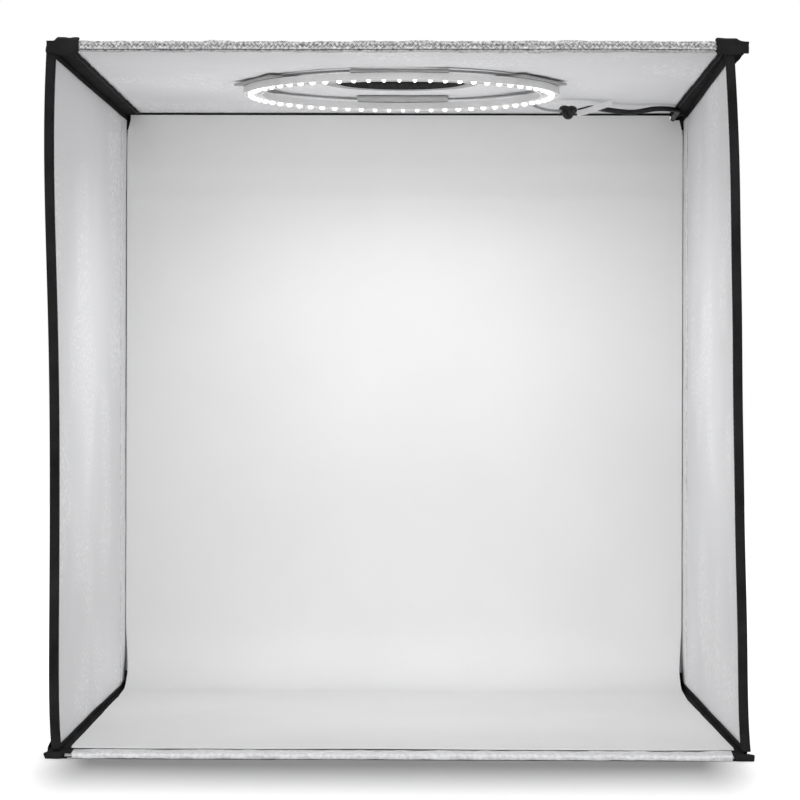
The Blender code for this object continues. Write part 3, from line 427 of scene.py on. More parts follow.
def add_box(name, low, high):
    bpy.ops.object.select_all(action="DESELECT")
    centre = [(a + b) / 2 for a, b in zip(low, high)]
    bpy.ops.mesh.primitive_cube_add(size=1, location=centre)
    return added(name, [b - a for a, b in zip(low, high)])


def cut_across(piece, axis, places):
    """Cuts the whole mesh by planes square to an axis, so that it can bend there."""
    edit(piece)
    normal = [int(i == axis) for i in range(3)]
    for place in places:
        bpy.ops.mesh.select_all(action="SELECT")
        bpy.ops.mesh.bisect(plane_co=[place * part for part in normal], plane_no=normal)
    object_mode()


def pick_faces(piece, chosen):
    """Leaves in edit mode, picked, the faces for which chosen(centre, normal) is true."""
    edit(piece)
    bpy.ops.mesh.select_mode(type="FACE")
    bpy.ops.mesh.select_all(action="DESELECT")
    object_mode()
    for face in piece.data.polygons:
        face.select = chosen(face.center, face.normal)
    bpy.ops.object.mode_set(mode="EDIT")


def delete_faces(piece, chosen):
    pick_faces(piece, chosen)
    bpy.ops.mesh.delete(type="FACE")
    object_mode()


def points_of(piece):
    co = np.empty(len(piece.data.vertices) * 3)
    piece.data.vertices.foreach_get("co", co)
    return co.reshape(-1, 3)


def put_points(piece, co):
    piece.data.vertices.foreach_set("co", co.ravel())
    piece.data.update()


def reshape(piece, change):
    put_points(piece, change(points_of(piece)))


def waves(co, seed, length, height):
    """A smooth, fixed waviness through space, as three sideways shifts of each point."""
    shift = np.zeros_like(co)
    for k in range(5):
        turn = np.array([math.sin(seed + 2.1 * k), math.sin(2.3 * seed + 1.3 * k + 1),
                         math.sin(0.7 * seed + 3.7 * k + 2)])
        turn = turn / np.linalg.norm(turn) * math.tau / (length * (0.6 + 0.35 * k))
        phase = co @ turn + seed * (k + 1)
        shift += np.sin(phase[:, None] + (0, 2.1, 4.2))
    return shift * height / 5


def lay_pattern(piece):
    """A pattern map in metres, laid flat on each face from the side that it looks to."""
    data = piece.data
    layer = data.uv_layers.get("pattern") or data.uv_layers.new(name="pattern")
    spots = np.empty(len(data.loops), int)
    data.loops.foreach_get("vertex_index", spots)
    sizes = np.empty(len(data.polygons), int)
    data.polygons.foreach_get("loop_total", sizes)
    normals = np.empty((len(data.polygons), 3))
    data.polygons.foreach_get("normal", normals.ravel())
    facing = np.repeat(np.abs(normals).argmax(axis=1), sizes)
    flat = np.take_along_axis(points_of(piece)[spots], np.array(FLAT_AXES)[facing], axis=1)
    layer.data.foreach_set("uv", flat.astype(np.float32).ravel())


def dress(piece, *finish):
    lay_pattern(piece)
    present(piece, *finish)


def recolour(material, *nodes):
    """A rigid CAD node keeps its shape and gets a better material."""
    for name in nodes:
        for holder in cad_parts[name].material_slots:
            holder.material = material


def smooth(piece, angle=50):
    select_only(piece)
    bpy.ops.object.shade_smooth_by_angle(angle=math.radians(angle))


def face_outward(piece):
    edit(piece)
    bpy.ops.mesh.normals_make_consistent(inside=False)
    object_mode()


def round_edges(piece, offset, segments, **settings):
    edit(piece)
    bpy.ops.mesh.select_mode(type="EDGE")
    bpy.ops.mesh.select_all(action="DESELECT")
    bpy.ops.mesh.edges_select_sharp(sharpness=math.radians(60))
    bpy.ops.mesh.bevel(offset=offset, segments=segments, affect="EDGES", **settings)
    object_mode()


def join_to(piece, *others):
    bpy.ops.object.select_all(action="DESELECT")
    for other in (*others, piece):
        other.select_set(True)
    bpy.context.view_layer.objects.active = piece
    bpy.ops.object.join()


CUT_APART = 0.0018  # an even cut closer than this to a tape's edge is left out


def bind_edges(name, low, high, axis, out, inner, outer, thickness, fold, step=0.010):
    """Folded tape round the edges of a panel. inner and outer give, for the panel's two
    long directions, how far the tape reaches over each face from the near and far edge."""
    piece = add_box(name, low, high)
    flat = FLAT_AXES[axis]
    for i, *widths in zip(flat, inner, outer):
        ends = {round(low[i] + near, 6) for near, _ in widths if near}
        ends |= {round(high[i] - far, 6) for _, far in widths if far}
        even = {round(low[i] + step * k, 6) for k in range(1, int((high[i] - low[i]) / step))}
        cut_across(piece, i, [
            place for place in sorted(even | ends) if low[i] < place < high[i]
            and (place in ends or all(abs(place - end) >= CUT_APART for end in ends))])

    def bare(centre, normal):
        for i, *widths in zip(flat, inner, outer):
            if abs(normal[i]) > 0.9:
                return not any(pair[int(normal[i] > 0)] for pair in widths)
        for i, (near, far) in zip(flat, outer if normal[axis] * out > 0 else inner):
            if near and centre[i] - low[i] < near or far and high[i] - centre[i] < far:
                return False
        return True

    delete_faces(piece, bare)
    edit(piece)
    bpy.ops.mesh.remove_doubles(threshold=MERGE)
    object_mode()
    round_edges(piece, fold, 3, clamp_overlap=True)
    apply_modifier(piece, "SOLIDIFY", thickness=thickness, offset=-1)
    smooth(piece)
    return piece


def cut_evenly(piece, axis, low, high, steps):
    length = high[axis] - low[axis]
    cut_across(piece, axis, [low[axis] + length * k / steps for k in range(1, steps)])


def carve(piece, cutter):
    """Cuts a closed piece by another, which is then taken away."""
    apply_modifier(piece, "BOOLEAN", operation="DIFFERENCE", object=cutter, solver="EXACT")
    bpy.data.objects.remove(cutter)


def panel_layer(panel, kind, axis, body, change, steps=40, cutter=None):
    """One layer of a stiff panel: outside cloth, stiffener or silver lining. It fills its
    CAD node, is cut finely enough to bend, and loses an area where a cutter goes through."""
    ending, material, slot_name = LAYERS[kind]
    node = f"{panel}_{ending}"
    low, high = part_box(node)
    layer = add_box(f"{panel}_{kind}", tuple(low), tuple(high))
    for i in FLAT_AXES[axis]:
        cut_evenly(layer, i, low, high, steps)
    if cutter:
        carve(layer, cutter())
    reshape(layer, change)
    dress(layer, material, slot_name, body, node)
    return layer


STITCH, STITCH_PITCH = (0.0023, 0.0005, 0.0004), 0.0032


def sew(name, rows, change, body):
    """Rows of thread stitches, each from one point to another on a face with a normal."""
    made = []
    for start, end, normal in rows:
        start, end, normal = Vector(start), Vector(end), Vector(normal)
        way = (end - start).normalized()
        bpy.ops.object.select_all(action="DESELECT")
        bpy.ops.mesh.primitive_uv_sphere_add(segments=6, ring_count=4, radius=0.5)
        stitch = added(f"{name}_row", STITCH)
        apply_modifier(stitch, "ARRAY", count=int((end - start).length / STITCH_PITCH),
                       use_relative_offset=False, use_constant_offset=True,
                       constant_offset_displace=(STITCH_PITCH, 0, 0))
        turned = points_of(stitch) @ np.array([way, normal.cross(way), normal])
        put_points(stitch, turned + np.array(start + way * STITCH_PITCH / 2))
        made.append(stitch)
    join_to(*made)
    seam = made[0]
    seam.name = name
    seam.data.name = name
    face_outward(seam)
    smooth(seam, 60)
    reshape(seam, change)
    dress(seam, thread_grey, "edge_tape", body)


# Threads over and under each other, from a pattern map in metres.
weave, given, given_back = effect("plain_weave", ("Height",), Threads=1800.0)
scaled = add_node(weave, "VectorMath", {0: given["Vector"], "Scale": given["Threads"]},
                  operation="SCALE")
parts = add_node(weave, "SeparateXYZ", {0: scaled.outputs[0]}).outputs
ridges, cells = [], []
for axis_name in ("X", "Y"):
    swing = calculate(weave, "SINE",
                      calculate(weave, "MULTIPLY", parts[axis_name], math.pi))
    ridges.append(calculate(weave, "ABSOLUTE", swing))
    cells.append(calculate(weave, "FLOOR", parts[axis_name]))
over = calculate(weave, "PINGPONG", calculate(weave, "ADD", *cells), 1.0)
picked = add_node(weave, "Mix", {"Factor": over, "A": ridges[0], "B": ridges[1]},
                  data_type="FLOAT")
weave.links.new(picked.outputs["Result"], given_back.inputs["Height"])


GRAIN_SHARE, GRAIN_SCALE = 0.35, 0.7  # of the grain in the relief, and beside the threads
THREAD_H = 0.00015


def cloth_material(name, dark, light, rough, threads, strength, drift, metallic=0.0,
                   more=None):
    """Woven cloth: threads from the pattern map, with a slow drift of shade."""
    made, tree, shader = new_material(name, light, rough[0], metallic)
    pattern = add_node(tree, "UVMap", uv_map="pattern").outputs["UV"]
    crossed = add_node(tree, "Group", {"Vector": pattern, "Threads": threads},
                       node_tree=weave).outputs["Height"]
    worn = mottled(tree, drift, threads * GRAIN_SCALE)
    both = add_node(tree, "Mix", {"Factor": GRAIN_SHARE, "A": crossed, "B": worn["Height"]},
                    data_type="FLOAT")
    colour_by(tree, shader, worn["Shade"], dark, light, rough)
    add_relief(tree, shader, both.outputs["Result"], strength, THREAD_H)
    set_inputs(shader, more or {})
    return made


cover_black = cloth_material(
    "cover_black", (0.015, 0.015, 0.016), (0.026, 0.026, 0.0275), (0.62, 0.78), 1700, 0.35, 9,
    more={"Specular IOR Level": 0.05})
tape_black = cloth_material(
    "tape_black", grey(0.014), grey(0.028), (0.75, 0.9), 1500, 0.5, 45,
    more={"Specular IOR Level": 0.02})
silver_cloth = cloth_material(
    "silver_cloth", (0.71, 0.71, 0.72), (0.80, 0.80, 0.81), (0.42, 0.58), 2400, 0.06, 5, 0.05)
silver_hem = cloth_material(
    "silver_hem", (0.64, 0.64, 0.65), (0.86, 0.86, 0.87), (0.3, 0.55), 2400, 0.12, 380, 0.1)
# The roof's silver hem is mottled down to near black: painted shade of its crinkles.
crinkle_shaded_hem = cloth_material(
    "crinkle_shaded_hem", grey(0.09), grey(0.86), (0.3, 0.55), 2400, 0.2, 620, 0.2)
board_grey = plain_material("board_grey", (0.5, 0.5, 0.49), (0.6, 0.6, 0.59), (0.75, 0.9),
                            40.0, 1800.0, 0.2, 0.0002)
thread_grey = plain_material("thread_grey", (0.035, 0.035, 0.036), (0.075, 0.075, 0.078),
                             (0.6, 0.8), 500.0, 5000.0)

# Painted glints: in loose patches, small speckles of the silver cloth's colour are lightened,
# where its facets would catch the light.
tree = silver_cloth.node_tree
place = add_node(tree, "TexCoord").outputs["Object"]
glint_masks = []
for scale, detail, low, high in ((420.0, 2.0, 0.52, 0.66), (11.0, 1.0, 0.46, 0.60)):
    noise = add_node(tree, "TexNoise", {"Vector": place, "Scale": scale, "Detail": detail})
    glint_masks.append(remap(tree, noise.outputs["Fac"], low, high))
base = tree.nodes["Principled BSDF"].inputs["Base Color"]
painted_glints = add_node(tree, "Mix", {
    "Factor": calculate(tree, "MULTIPLY", *glint_masks), "A": base.links[0].from_socket,
    "B": (0.97, 0.97, 0.97, 1)}, data_type="RGBA")
tree.links.new(painted_glints.outputs["Result"], base)

LAYERS = {  # the end of each layer's name in the frame, its material and its slot
    "stiffener": ("board", board_grey, "stiffener"),
    "underside": ("cover", cover_black, "cover_fabric"),
    "outside": ("cover", cover_black, "cover_fabric"),
    "silver": ("liner", silver_cloth, "silver_liner"),
}


# The floor slopes down from here to its front edge. The hem's lap starts and widens here.
SLOPE_Y, SLOPE_L, SLOPE_LOSS = -0.185, 0.015, 0.36
LAP_X, LAP_L, WIDER_X = 0.174, 0.003, 0.15


def crumple_floor(co):
    """The floor's cloth edges waver a little to the side, and stay flat on the table."""
    shift = waves(co, 3.0, 0.09, 0.0006)
    shift[:, 1] *= 0.5
    shift[:, 2] = 0
    return co + shift


def floor_slope(co):
    """The floor thins towards its front edge, where its board is pressed flat by the hem."""
    thin = 1 - SLOPE_LOSS * np.clip((SLOPE_Y - co[:, 1]) / SLOPE_L, 0, 1)
    return np.column_stack((co[:, :2], co[:, 2] * thin))


def lay_floor_hem(co):
    """The hem's right end laps over the side tape, and its underside is flat."""
    lap = np.clip((co[:, 0] - LAP_X) / LAP_L, 0, 1)
    return floor_slope(np.column_stack((
        co[:, 0] * (1 + 0.040 * np.clip(co[:, 0] - WIDER_X, 0, 1) / 0.035),
        co[:, 1] - 0.0008 * lap,
        np.maximum(co[:, 2], 0.0) + 0.0005 * lap * (co[:, 2] > 0.002))))


HEM_REAR, HEM_INSIDE, HEM_T = -0.1885, 0.010, 0.0004


def hem_strip(name, half, base, top, seed, bend, crinkle=0.0004):
    """A folded strip of silver cloth over a panel's front edge, crinkled by its seam."""
    widths = ((None, None), (HEM_INSIDE, None))
    piece = bind_edges(name, (-half, -HALF, base), (half, HEM_REAR, top), 2, 1, widths,
                       widths, HEM_T, 0.0009, step=0.0036)
    co = points_of(piece)
    fine = waves(co, seed, 0.006, crinkle) + waves(co, seed + 4, 0.017, crinkle * 0.8)
    fine[:, 0] = 0
    put_points(piece, bend(co + fine))
    smooth(piece, 60)
    return piece


recolour(board_grey, "rear_board", "roof_board")
floor_edges = bind_edges(
    "floor_edge_tape", (-HALF, -HALF, 0.0), (HALF, HALF, FLOOR_T), 2, -1,
    ((0.0145, 0.0145), (None, 0.0090)), TAPE_OUTSIDE, TAPE_T, 0.0006)
reshape(floor_edges, lambda co: floor_slope(crumple_floor(co)))

# The tape's folded front ends make two small feet, whose inner and outer sides are read
# from the middle.
FOOT_X, FOOT_Y, FOOT_H = {-1: (0.1896, 0.1996), 1: (0.1935, 0.2040)}, (-0.2018, -0.1965), 0.0042
feet = []
for side in (-1, 1):
    near, far = sorted(side * x for x in FOOT_X[side])
    foot = add_box("foot", (near, FOOT_Y[0], 0.0), (far, FOOT_Y[1], FOOT_H))
    edit(foot)
    bpy.ops.mesh.subdivide(number_cuts=5)
    object_mode()
    co = points_of(foot)
    co[:, 0] += side * 0.0012 * np.sin(co[:, 1] * 900)  # a fold in the tape
    wave = waves(co, 5.0 + side, 0.006, 0.0012)
    wave[:, 2] = -np.abs(wave[:, 2]) * (co[:, 2] / FOOT_H)
    put_points(foot, co + wave)
    apply_modifier(foot, "SUBSURF", levels=1, render_levels=1)
    feet.append(foot)
join_to(floor_edges, *feet)
smooth(floor_edges)
dress(floor_edges, tape_black, "edge_tape", "root", "floor_binding")
for kind in ("stiffener", "underside", "silver"):
    panel_layer("floor", kind, 2, "root", floor_slope)
floor_hem = hem_strip("floor_silver_hem", 0.1852, 0.0, FLOOR_T, 1.7, lay_floor_hem)
dress(floor_hem, silver_hem, "silver_hem", "root", "floor_front_hem")
sew("floor_stitching", [((x, SEAM_Y[0], FLOOR_T), (x, SEAM_Y[1], FLOOR_T), (0, 0, 1))
                        for x in (-SEAM_X, SEAM_X)], crumple_floor, "root")


# Rear wall
# The same stiff panel, bound in black tape on all four edges, stands on the floor. The cord
# leaves by a rubber-lined notch at its upper right corner, under a slit in the tape.
NOTCH_W, NOTCH_BASE = 0.0068, 0.3906
SLIT_W = CORD_D + 0.0004
REAR_TAPE = (0.010, 0.010)
BEFORE_Y, BEHIND_Y = 0.190, 0.205  # a cut through the rear wall runs between these


def crumple_rear(co):
    return co + waves(co, 8.0, 0.11, 0.0003)


def notch_cut():
    return add_box("notch_cut", (CORD_X - NOTCH_W / 2, BEFORE_Y, NOTCH_BASE),
                   (CORD_X + NOTCH_W / 2, BEHIND_Y, 0.410))


rear_edges = bind_edges(
    "rear_edge_tape", (-HALF, REAR_FACE, WALL_BASE), (HALF, HALF, WALL_TOP), 1, 1,
    ((0.0045, 0.0045), REAR_TAPE), (REAR_TAPE, REAR_TAPE), TAPE_T, 0.0006)
carve(rear_edges, add_box("slit_cut", (CORD_X - SLIT_W / 2, BEFORE_Y, 0.4010),
                          (CORD_X + SLIT_W / 2, BEHIND_Y, 0.4049)))
reshape(rear_edges, crumple_rear)
smooth(rear_edges)
dress(rear_edges, tape_black, "edge_tape", "root", "rear_binding")
for kind in ("outside", "silver"):
    panel_layer("rear", kind, 1, "root", crumple_rear, cutter=notch_cut)
sew("rear_stitching", [
    ((-0.192, HALF, 0.012), (-0.192, HALF, 0.385), (0, 1, 0)),
    ((0.192, HALF, 0.385), (0.192, HALF, 0.012), (0, 1, 0)),
    ((-0.180, HALF, 0.0135), (0.180, HALF, 0.0135), (0, 1, 0)),
], crumple_rear, "root")
notch_rubber = plain_material("notch_rubber", grey(0.018), grey(0.034),
                              (0.5, 0.68), 90.0, 2200.0, 0.2)
recolour(notch_rubber, "cable_notch_lining")


# Side walls
# Two panels of the same build drop outward on tape hinges along their feet. Standing, they
# lean and waver a little at their free front edges, and are held true at the rear wall.
LEAN = {  # height above the table, and how far the front edge stands to the right there
    -1: ((0.0, 0.0018), (0.05, 0.0018), (0.10, 0.0016), (0.20, 0.0012), (0.30, -0.0004),
         (0.36, -0.0027), (0.41, -0.0004)),
    1: ((0.0, 0.0010), (0.05, 0.0010), (0.10, 0.0000), (0.20, -0.0020), (0.30, -0.0032),
        (0.36, -0.0049), (0.41, -0.0078)),
}
FLARE = {-1: 0.0019, 1: 0.0027}  # how far the front edge's foot stands out to the right
PLEATS = {-1: ((0.143, 0.36),), 1: ((0.148, 0.36), (-0.092, 0.37))}  # y and lower end
PLEAT_W, PLEAT_H = 0.006, 0.0015
FRONT_FOLD, TOP_FOLD = 0.007, 0.0035  # how far the tape reaches over both faces
FOOT_FOLD = {-1: 0.0028, 1: 0.0036}
HINGE_X, HINGE_T, HINGE_W = 0.2009, 0.0005, 0.0237  # X is the tape's inner face
WALL_SEAM_Y, WALL_SEAM_Z = -0.1945, (0.015, 0.395)
REAR_HEM_W, REAR_HEM_T = 0.0300, 0.0008


def to_front(co):
    """0 at the rear wall, 1 at the free front edge."""
    return np.clip((REAR_FACE - co[:, 1]) / 0.395, 0, 1)


def stand_wall(co, side):
    heights, shifts = (np.array(row) for row in zip(*LEAN[side]))
    rise = np.polynomial.Polynomial.fit(heights, shifts, 4)
    flare = FLARE[side] * np.exp(-np.clip(co[:, 2], 0, 1) / 0.015)
    lean = (rise(co[:, 2]) + flare) * to_front(co) ** 1.15
    co = co + waves(co, 12.0 + side, 0.12, 0.0003)
    co[:, 0] += lean
    return co


def pleat(co, side):
    """Short upright pleats under the top tape, where the lining was gathered."""
    for y, lower_end in PLEATS[side]:
        bump = PLEAT_H * np.exp(-((co[:, 1] - y) / PLEAT_W) ** 2)
        bump *= np.clip((co[:, 2] - lower_end) / 0.04, 0, 1)
        co[:, 0] -= side * bump * np.clip((0.3975 - co[:, 2]) / 0.004, 0, 1)
    return co


def add_grid(name, columns, rows, size, place=(0, 0, 0), turn=(0, 0, 0)):
    bpy.ops.object.select_all(action="DESELECT")
    bpy.ops.mesh.primitive_grid_add(x_subdivisions=columns, y_subdivisions=rows, size=1,
                                    location=place, rotation=turn)
    return added(name, (*size, 1))


def finish_tape(tape, node):
    """A hinge tape with its faces set right, dressed, with its place baked into its mesh."""
    face_outward(tape)
    smooth(tape)
    dress(tape, tape_black, "edge_tape", None, node)
    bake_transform(tape)


for side, name in ((-1, "left_wall"), (1, "right_wall")):
    near, far = sorted((side * HALF, side * (HALF - FLOOR_T)))
    widths = ((FRONT_FOLD, None), (FOOT_FOLD[side], TOP_FOLD))
    edges = bind_edges(f"{name}_edge_tape", (near, -HALF, WALL_BASE),
                       (far, REAR_FACE - 0.0003, WALL_TOP), 0, side, widths, widths,
                       TAPE_T, 0.0007)
    co = points_of(edges)
    if side > 0:  # the top tape reaches further down on the inside towards the front
        lap_z = WALL_TOP - TOP_FOLD
        lapped = (np.abs(co[:, 0]) < 0.1962) & (np.abs(co[:, 2] - lap_z) < 0.0006)
        co[:, 2] -= lapped * 0.0030 * to_front(co)
    put_points(edges, stand_wall(co, side))
    dress(edges, tape_black, "edge_tape", name, f"{name}_binding")
    for kind in ("outside", "stiffener"):
        smooth(panel_layer(name, kind, 0, name, lambda co: stand_wall(co, side)))
    smooth(panel_layer(name, "silver", 0, name, lambda co: stand_wall(pleat(co, side), side),
                       steps=110))
    low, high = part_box(f"{name}_rear_hem")
    widths = ((None, REAR_HEM_W), (None, None))
    hem = bind_edges(f"{name}_silver_hem", tuple(low), tuple(high), 0, side, widths, widths,
                     REAR_HEM_T, 0.0006, step=0.0060)
    co = points_of(hem)
    fine = waves(co, 21.0 + side, 0.012, 0.00025)
    fine[:, 1:] = 0
    put_points(hem, stand_wall(co + fine, side))
    dress(hem, silver_hem, "silver_hem", name, f"{name}_rear_hem")
    hem.data.materials.append(tape_black)
    for face in hem.data.polygons:
        face.material_index = int(side * face.center.x > HALF - 0.0012)
    low_z, high_z = WALL_SEAM_Z
    inside_x = side * (HALF - FLOOR_T)
    sew(f"{name}_stitching", [
        ((side * HALF, WALL_SEAM_Y, high_z), (side * HALF, WALL_SEAM_Y, low_z), (side, 0, 0)),
        ((inside_x, WALL_SEAM_Y, low_z), (inside_x, WALL_SEAM_Y, high_z), (-side, 0, 0)),
    ], lambda co: stand_wall(co, side), name)

    # The hinge tape is sewn flat on the outside of the floor's edge and the wall's foot.
    tape = add_grid(f"{name}_foot_hinge", 40, 46, (0.370, HINGE_W),
                    (side * 0.20125, 0, 0.01215), (math.pi / 2, 0, math.pi / 2))
    apply_modifier(tape, "SOLIDIFY", thickness=HINGE_T, offset=0)
    co = points_of(tape)
    moved = stand_wall(co, side)
    co[:, 0] += (moved[:, 0] - co[:, 0]) * np.clip(co[:, 2] / 0.010, 0, 1)
    foot = np.clip((0.008 - co[:, 2]) / 0.004, 0, 1)
    co[:, 0] += side * foot * np.maximum(HINGE_X - side * co[:, 0], 0)
    put_points(tape, co)
    finish_tape(tape, f"{name}_hinge_tape")


# Backdrop sheet and the strip that it hangs from
# A matt white plastic sheet hangs from a hook-and-loop strip at the top of the rear wall,
# bends through a wide sweep and runs forward over the floor. Old folds cross it.
SHEET_W, FLAT_W = 0.384, 0.388
HUNG_MORE, FLOOR_LESS = 0.0048, 0.0028  # wider on the rear wall, narrower on the floor
SHEET_T, SHEET_TOP, SHEET_Z, SHEET_FRONT = 0.0003, 0.4050, 0.0053, -0.190
BACK_Y, SWEEP_R = 0.1929, 0.040
CORNER_X, CORNER_L = 0.1853, 0.0032  # the upper right corner is cut away for the cord
FOLDS = ((0.0585, 0.0014, 0.0030), (0.0365, 0.0007, 0.003),  # place, height and width
         (0.238, 0.0003, 0.004), (0.560, 0.0003, 0.004))
hang = SHEET_TOP - (SHEET_Z + SWEEP_R)
arc = math.pi / 2 * SWEEP_R
run = BACK_Y - SWEEP_R - SHEET_FRONT
sheet_length = hang + arc + run
backdrop = add_grid("white_backdrop", 48, 150, (SHEET_W, sheet_length),
                    (0, sheet_length / 2, 0))
cut_across(backdrop, 0, [CORNER_X])
cut_across(backdrop, 1, [CORNER_L])
delete_faces(backdrop, lambda centre, normal: centre[0] > CORNER_X and centre[1] < CORNER_L)
flat_area = sheet_length * SHEET_W - CORNER_L * (SHEET_W / 2 - CORNER_X) - run * FLOOR_LESS
flat_area += (hang + arc / 4 - 0.008) * HUNG_MORE


def hang_sheet(co):
    """From its flat length and width to its place on the rear wall, sweep and floor."""
    along, across = co[:, 1], co[:, 0]
    angle = np.clip((along - hang) / SWEEP_R, 0, math.pi / 2)
    ahead = np.clip(along - hang - arc, 0, None)
    y = BACK_Y - SWEEP_R + SWEEP_R * np.cos(angle) - ahead
    z = np.where(along < hang, SHEET_TOP - along, SHEET_Z + SWEEP_R - SWEEP_R * np.sin(angle))
    spread = np.clip(2 * (hang + arc / 2 - along) / arc, 0, 1)
    spread = spread * np.clip(along / 0.010 - 0.3, 0, 1)
    across = across * (1 + HUNG_MORE / SHEET_W * spread - 0.002 * ahead / run)
    across = across + np.interp(ahead, (0, 0.057, 0.343), (0, -0.0010, 0.0027))
    across = across - np.minimum(across, 0) * np.interp(ahead, (0, 0.05), (0, 0.0125))
    slow = waves(np.column_stack((across, along, 0 * along)), 4.4, 0.16, 0.0007)[:, 2]
    inward = 0.0003 + np.abs(slow) * np.clip(along / 0.03, 0, 1)
    for place, height, wide in FOLDS:
        inward += height * np.exp(-((along - place) / wide) ** 2)
    return floor_slope(np.column_stack((across, y - inward * np.cos(angle),
                                        z + inward * np.sin(angle))))


reshape(backdrop, hang_sheet)
face_outward(backdrop)
apply_modifier(backdrop, "SOLIDIFY", thickness=SHEET_T, offset=0)
smooth(backdrop)
backdrop_white = plain_material("backdrop_white", grey(0.79), grey(0.84),
                                (0.55, 0.68), 7.0, 900.0, 0.06)
dress(backdrop, backdrop_white, "backdrop", "root", "backdrop_sheet")

low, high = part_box("backdrop_hook_strip")
hanger = add_box("hanging_strip", tuple(low), tuple(high))
cut_evenly(hanger, 0, low, high, 60)
round_edges(hanger, 0.0003, 2)
smooth(hanger)
dress(hanger, silver_hem, "silver_hem", "root", "backdrop_hook_strip")


# Roof panel
# The roof lifts on a tape hinge along the top of the rear wall. Black tape binds its sides
# and rear, folded thick at the front corners, and a silver hem closes its front edge.
HOLE_Y, HOLE_R, HOLE_CUT_R = -0.020, 0.040, 0.0412
HEM_HALF, HEM_FRONT = 0.1822, -0.2003
SEW_X, THREAD_R = -0.1818, 0.00022  # where the hem's sewing starts
CAP_X, CAP_Y, CAP_T = (0.1826, 0.2008), (-0.2022, -0.1915), 0.0006
CAP_UNDER, CAP_OVER = 0.0024, 0.0008  # how far it stands out below and above the roof
LOBE_X, LOBE_L, LOBE_GROOVE_X = 0.1950, 0.0014, 0.1953


def crumple_roof(co):
    """A slight ripple that dies out at the rear, and a crease across the roof."""
    shift = waves(co, 30.0, 0.13, 0.0003)
    y = co[:, 1]
    ripple = np.sin(y * 190 + 1.5 * np.sin(co[:, 0] * 17)) * np.sin(y * 61 + 2)
    crease = np.exp(-((y - 0.136) / 0.0028) ** 2)
    shift[:, 2] += 0.00034 * ripple * np.clip((0.186 - y) / 0.02, 0, 1) - 0.0004 * crease
    return co + shift


def hole_cut():
    bpy.ops.object.select_all(action="DESELECT")
    bpy.ops.mesh.primitive_cylinder_add(vertices=96, radius=HOLE_CUT_R, depth=0.05,
                                        location=(0, HOLE_Y, 0.408))
    return added("hole_cut")


roof_edges = bind_edges(
    "roof_edge_tape", (-HALF, -HALF, ROOF_BASE), (HALF, HALF, ROOF_TOP), 2, 1,
    ((0.015, 0.015), (None, 0.0028)), TAPE_OUTSIDE, 0.0006, 0.0008)

# Each folded corner is a thick cap with a lobe at its outer end, behind a short groove.
caps = []
for side in (-1, 1):
    near, far = sorted(side * x for x in CAP_X)
    cap = add_box("cap", (near, CAP_Y[0], ROOF_BASE - CAP_UNDER),
                  (far, CAP_Y[1], ROOF_TOP + CAP_OVER))
    edit(cap)
    bpy.ops.mesh.subdivide(number_cuts=14)
    object_mode()
    delete_faces(cap, lambda centre, normal: normal[1] > 0.9)
    co = points_of(cap)
    upper, behind = co[:, 2] > ROOF_TOP, np.clip((co[:, 1] + 0.2018) / 0.004, 0, 1)
    out_x = np.abs(co[:, 0])
    lobe = np.clip((out_x - LOBE_X) / LOBE_L, 0, 1)
    co[:, 2] += upper * (0.0014 * behind * (1 - lobe) - 0.0008 * lobe)
    co[:, 1] += 0.0012 * np.exp(-((out_x - LOBE_GROOVE_X) / 0.0010) ** 2) * (behind < 0.2)
    co[:, 2] += (co[:, 2] < ROOF_BASE) * (0.0026 * behind + 0.0007 * lobe)
    put_points(cap, co + waves(co, 40.0 + side, 0.007, 0.0006))
    apply_modifier(cap, "SOLIDIFY", thickness=CAP_T, offset=-1)
    apply_modifier(cap, "SUBSURF", levels=1, render_levels=1)
    caps.append(cap)
join_to(roof_edges, *caps)
reshape(roof_edges, crumple_roof)
smooth(roof_edges)
dress(roof_edges, tape_black, "edge_tape", "roof", "roof_binding")
for kind in ("outside", "silver"):
    panel_layer("roof", kind, 2, "roof", crumple_roof, cutter=hole_cut)
roof_hem = hem_strip("roof_silver_hem", HEM_HALF, ROOF_BASE, ROOF_TOP, 9.1, crumple_roof,
                     0.0005)
dress(roof_hem, crinkle_shaded_hem, "silver_hem", "roof", "roof_front_hem")
zigzag = [Vector((SEW_X + 0.00125 * k, HEM_FRONT,
                  ROOF_BASE + 0.0030 + (0.0008 if k % 2 else -0.0008))) for k in range(292)]
# The straight dark thread row along the hem's lower seam is also a painted shadow line under
# the hem.
hem_seam_shadow_row = [Vector((SEW_X + 0.0036 * k, HEM_FRONT, ROOF_BASE + 0.0007)) for k in range(102)]
hem_seam = tube("roof_hem_zigzag", zigzag, THREAD_R, sides=5)
join_to(hem_seam, tube("hem_seam_shadow_row", hem_seam_shadow_row, THREAD_R, sides=5))
reshape(hem_seam, crumple_roof)
dress(hem_seam, thread_grey, "silver_hem", "roof")
sew("roof_stitching", [
    ((side * x, SEAM_Y[0], z), (side * x, SEAM_Y[1], z), (0, 0, up))
    for x, z, up in ((0.1872, ROOF_BASE, -1), (0.190, ROOF_TOP, 1)) for side in (-1, 1)
], crumple_roof, "roof")
roof_hinge = add_grid("roof_rear_hinge", 40, 48, (0.348, 0.024),
                      (0, HINGE_X + HINGE_T / 2, 0.3987), (math.pi / 2, 0, 0))
apply_modifier(roof_hinge, "SOLIDIFY", thickness=HINGE_T, offset=0)
finish_tape(roof_hinge, "roof_hinge_tape")


# Viewing hole in the roof
# Grey tape binds the round hole through the roof, for a camera that looks straight down.
# A round silver patch is sewn round it on the inside.
RIM_R, RIM_T = 0.049, 0.0009
PATCH_INNER, PATCH_OUTER = 0.0493, 0.086


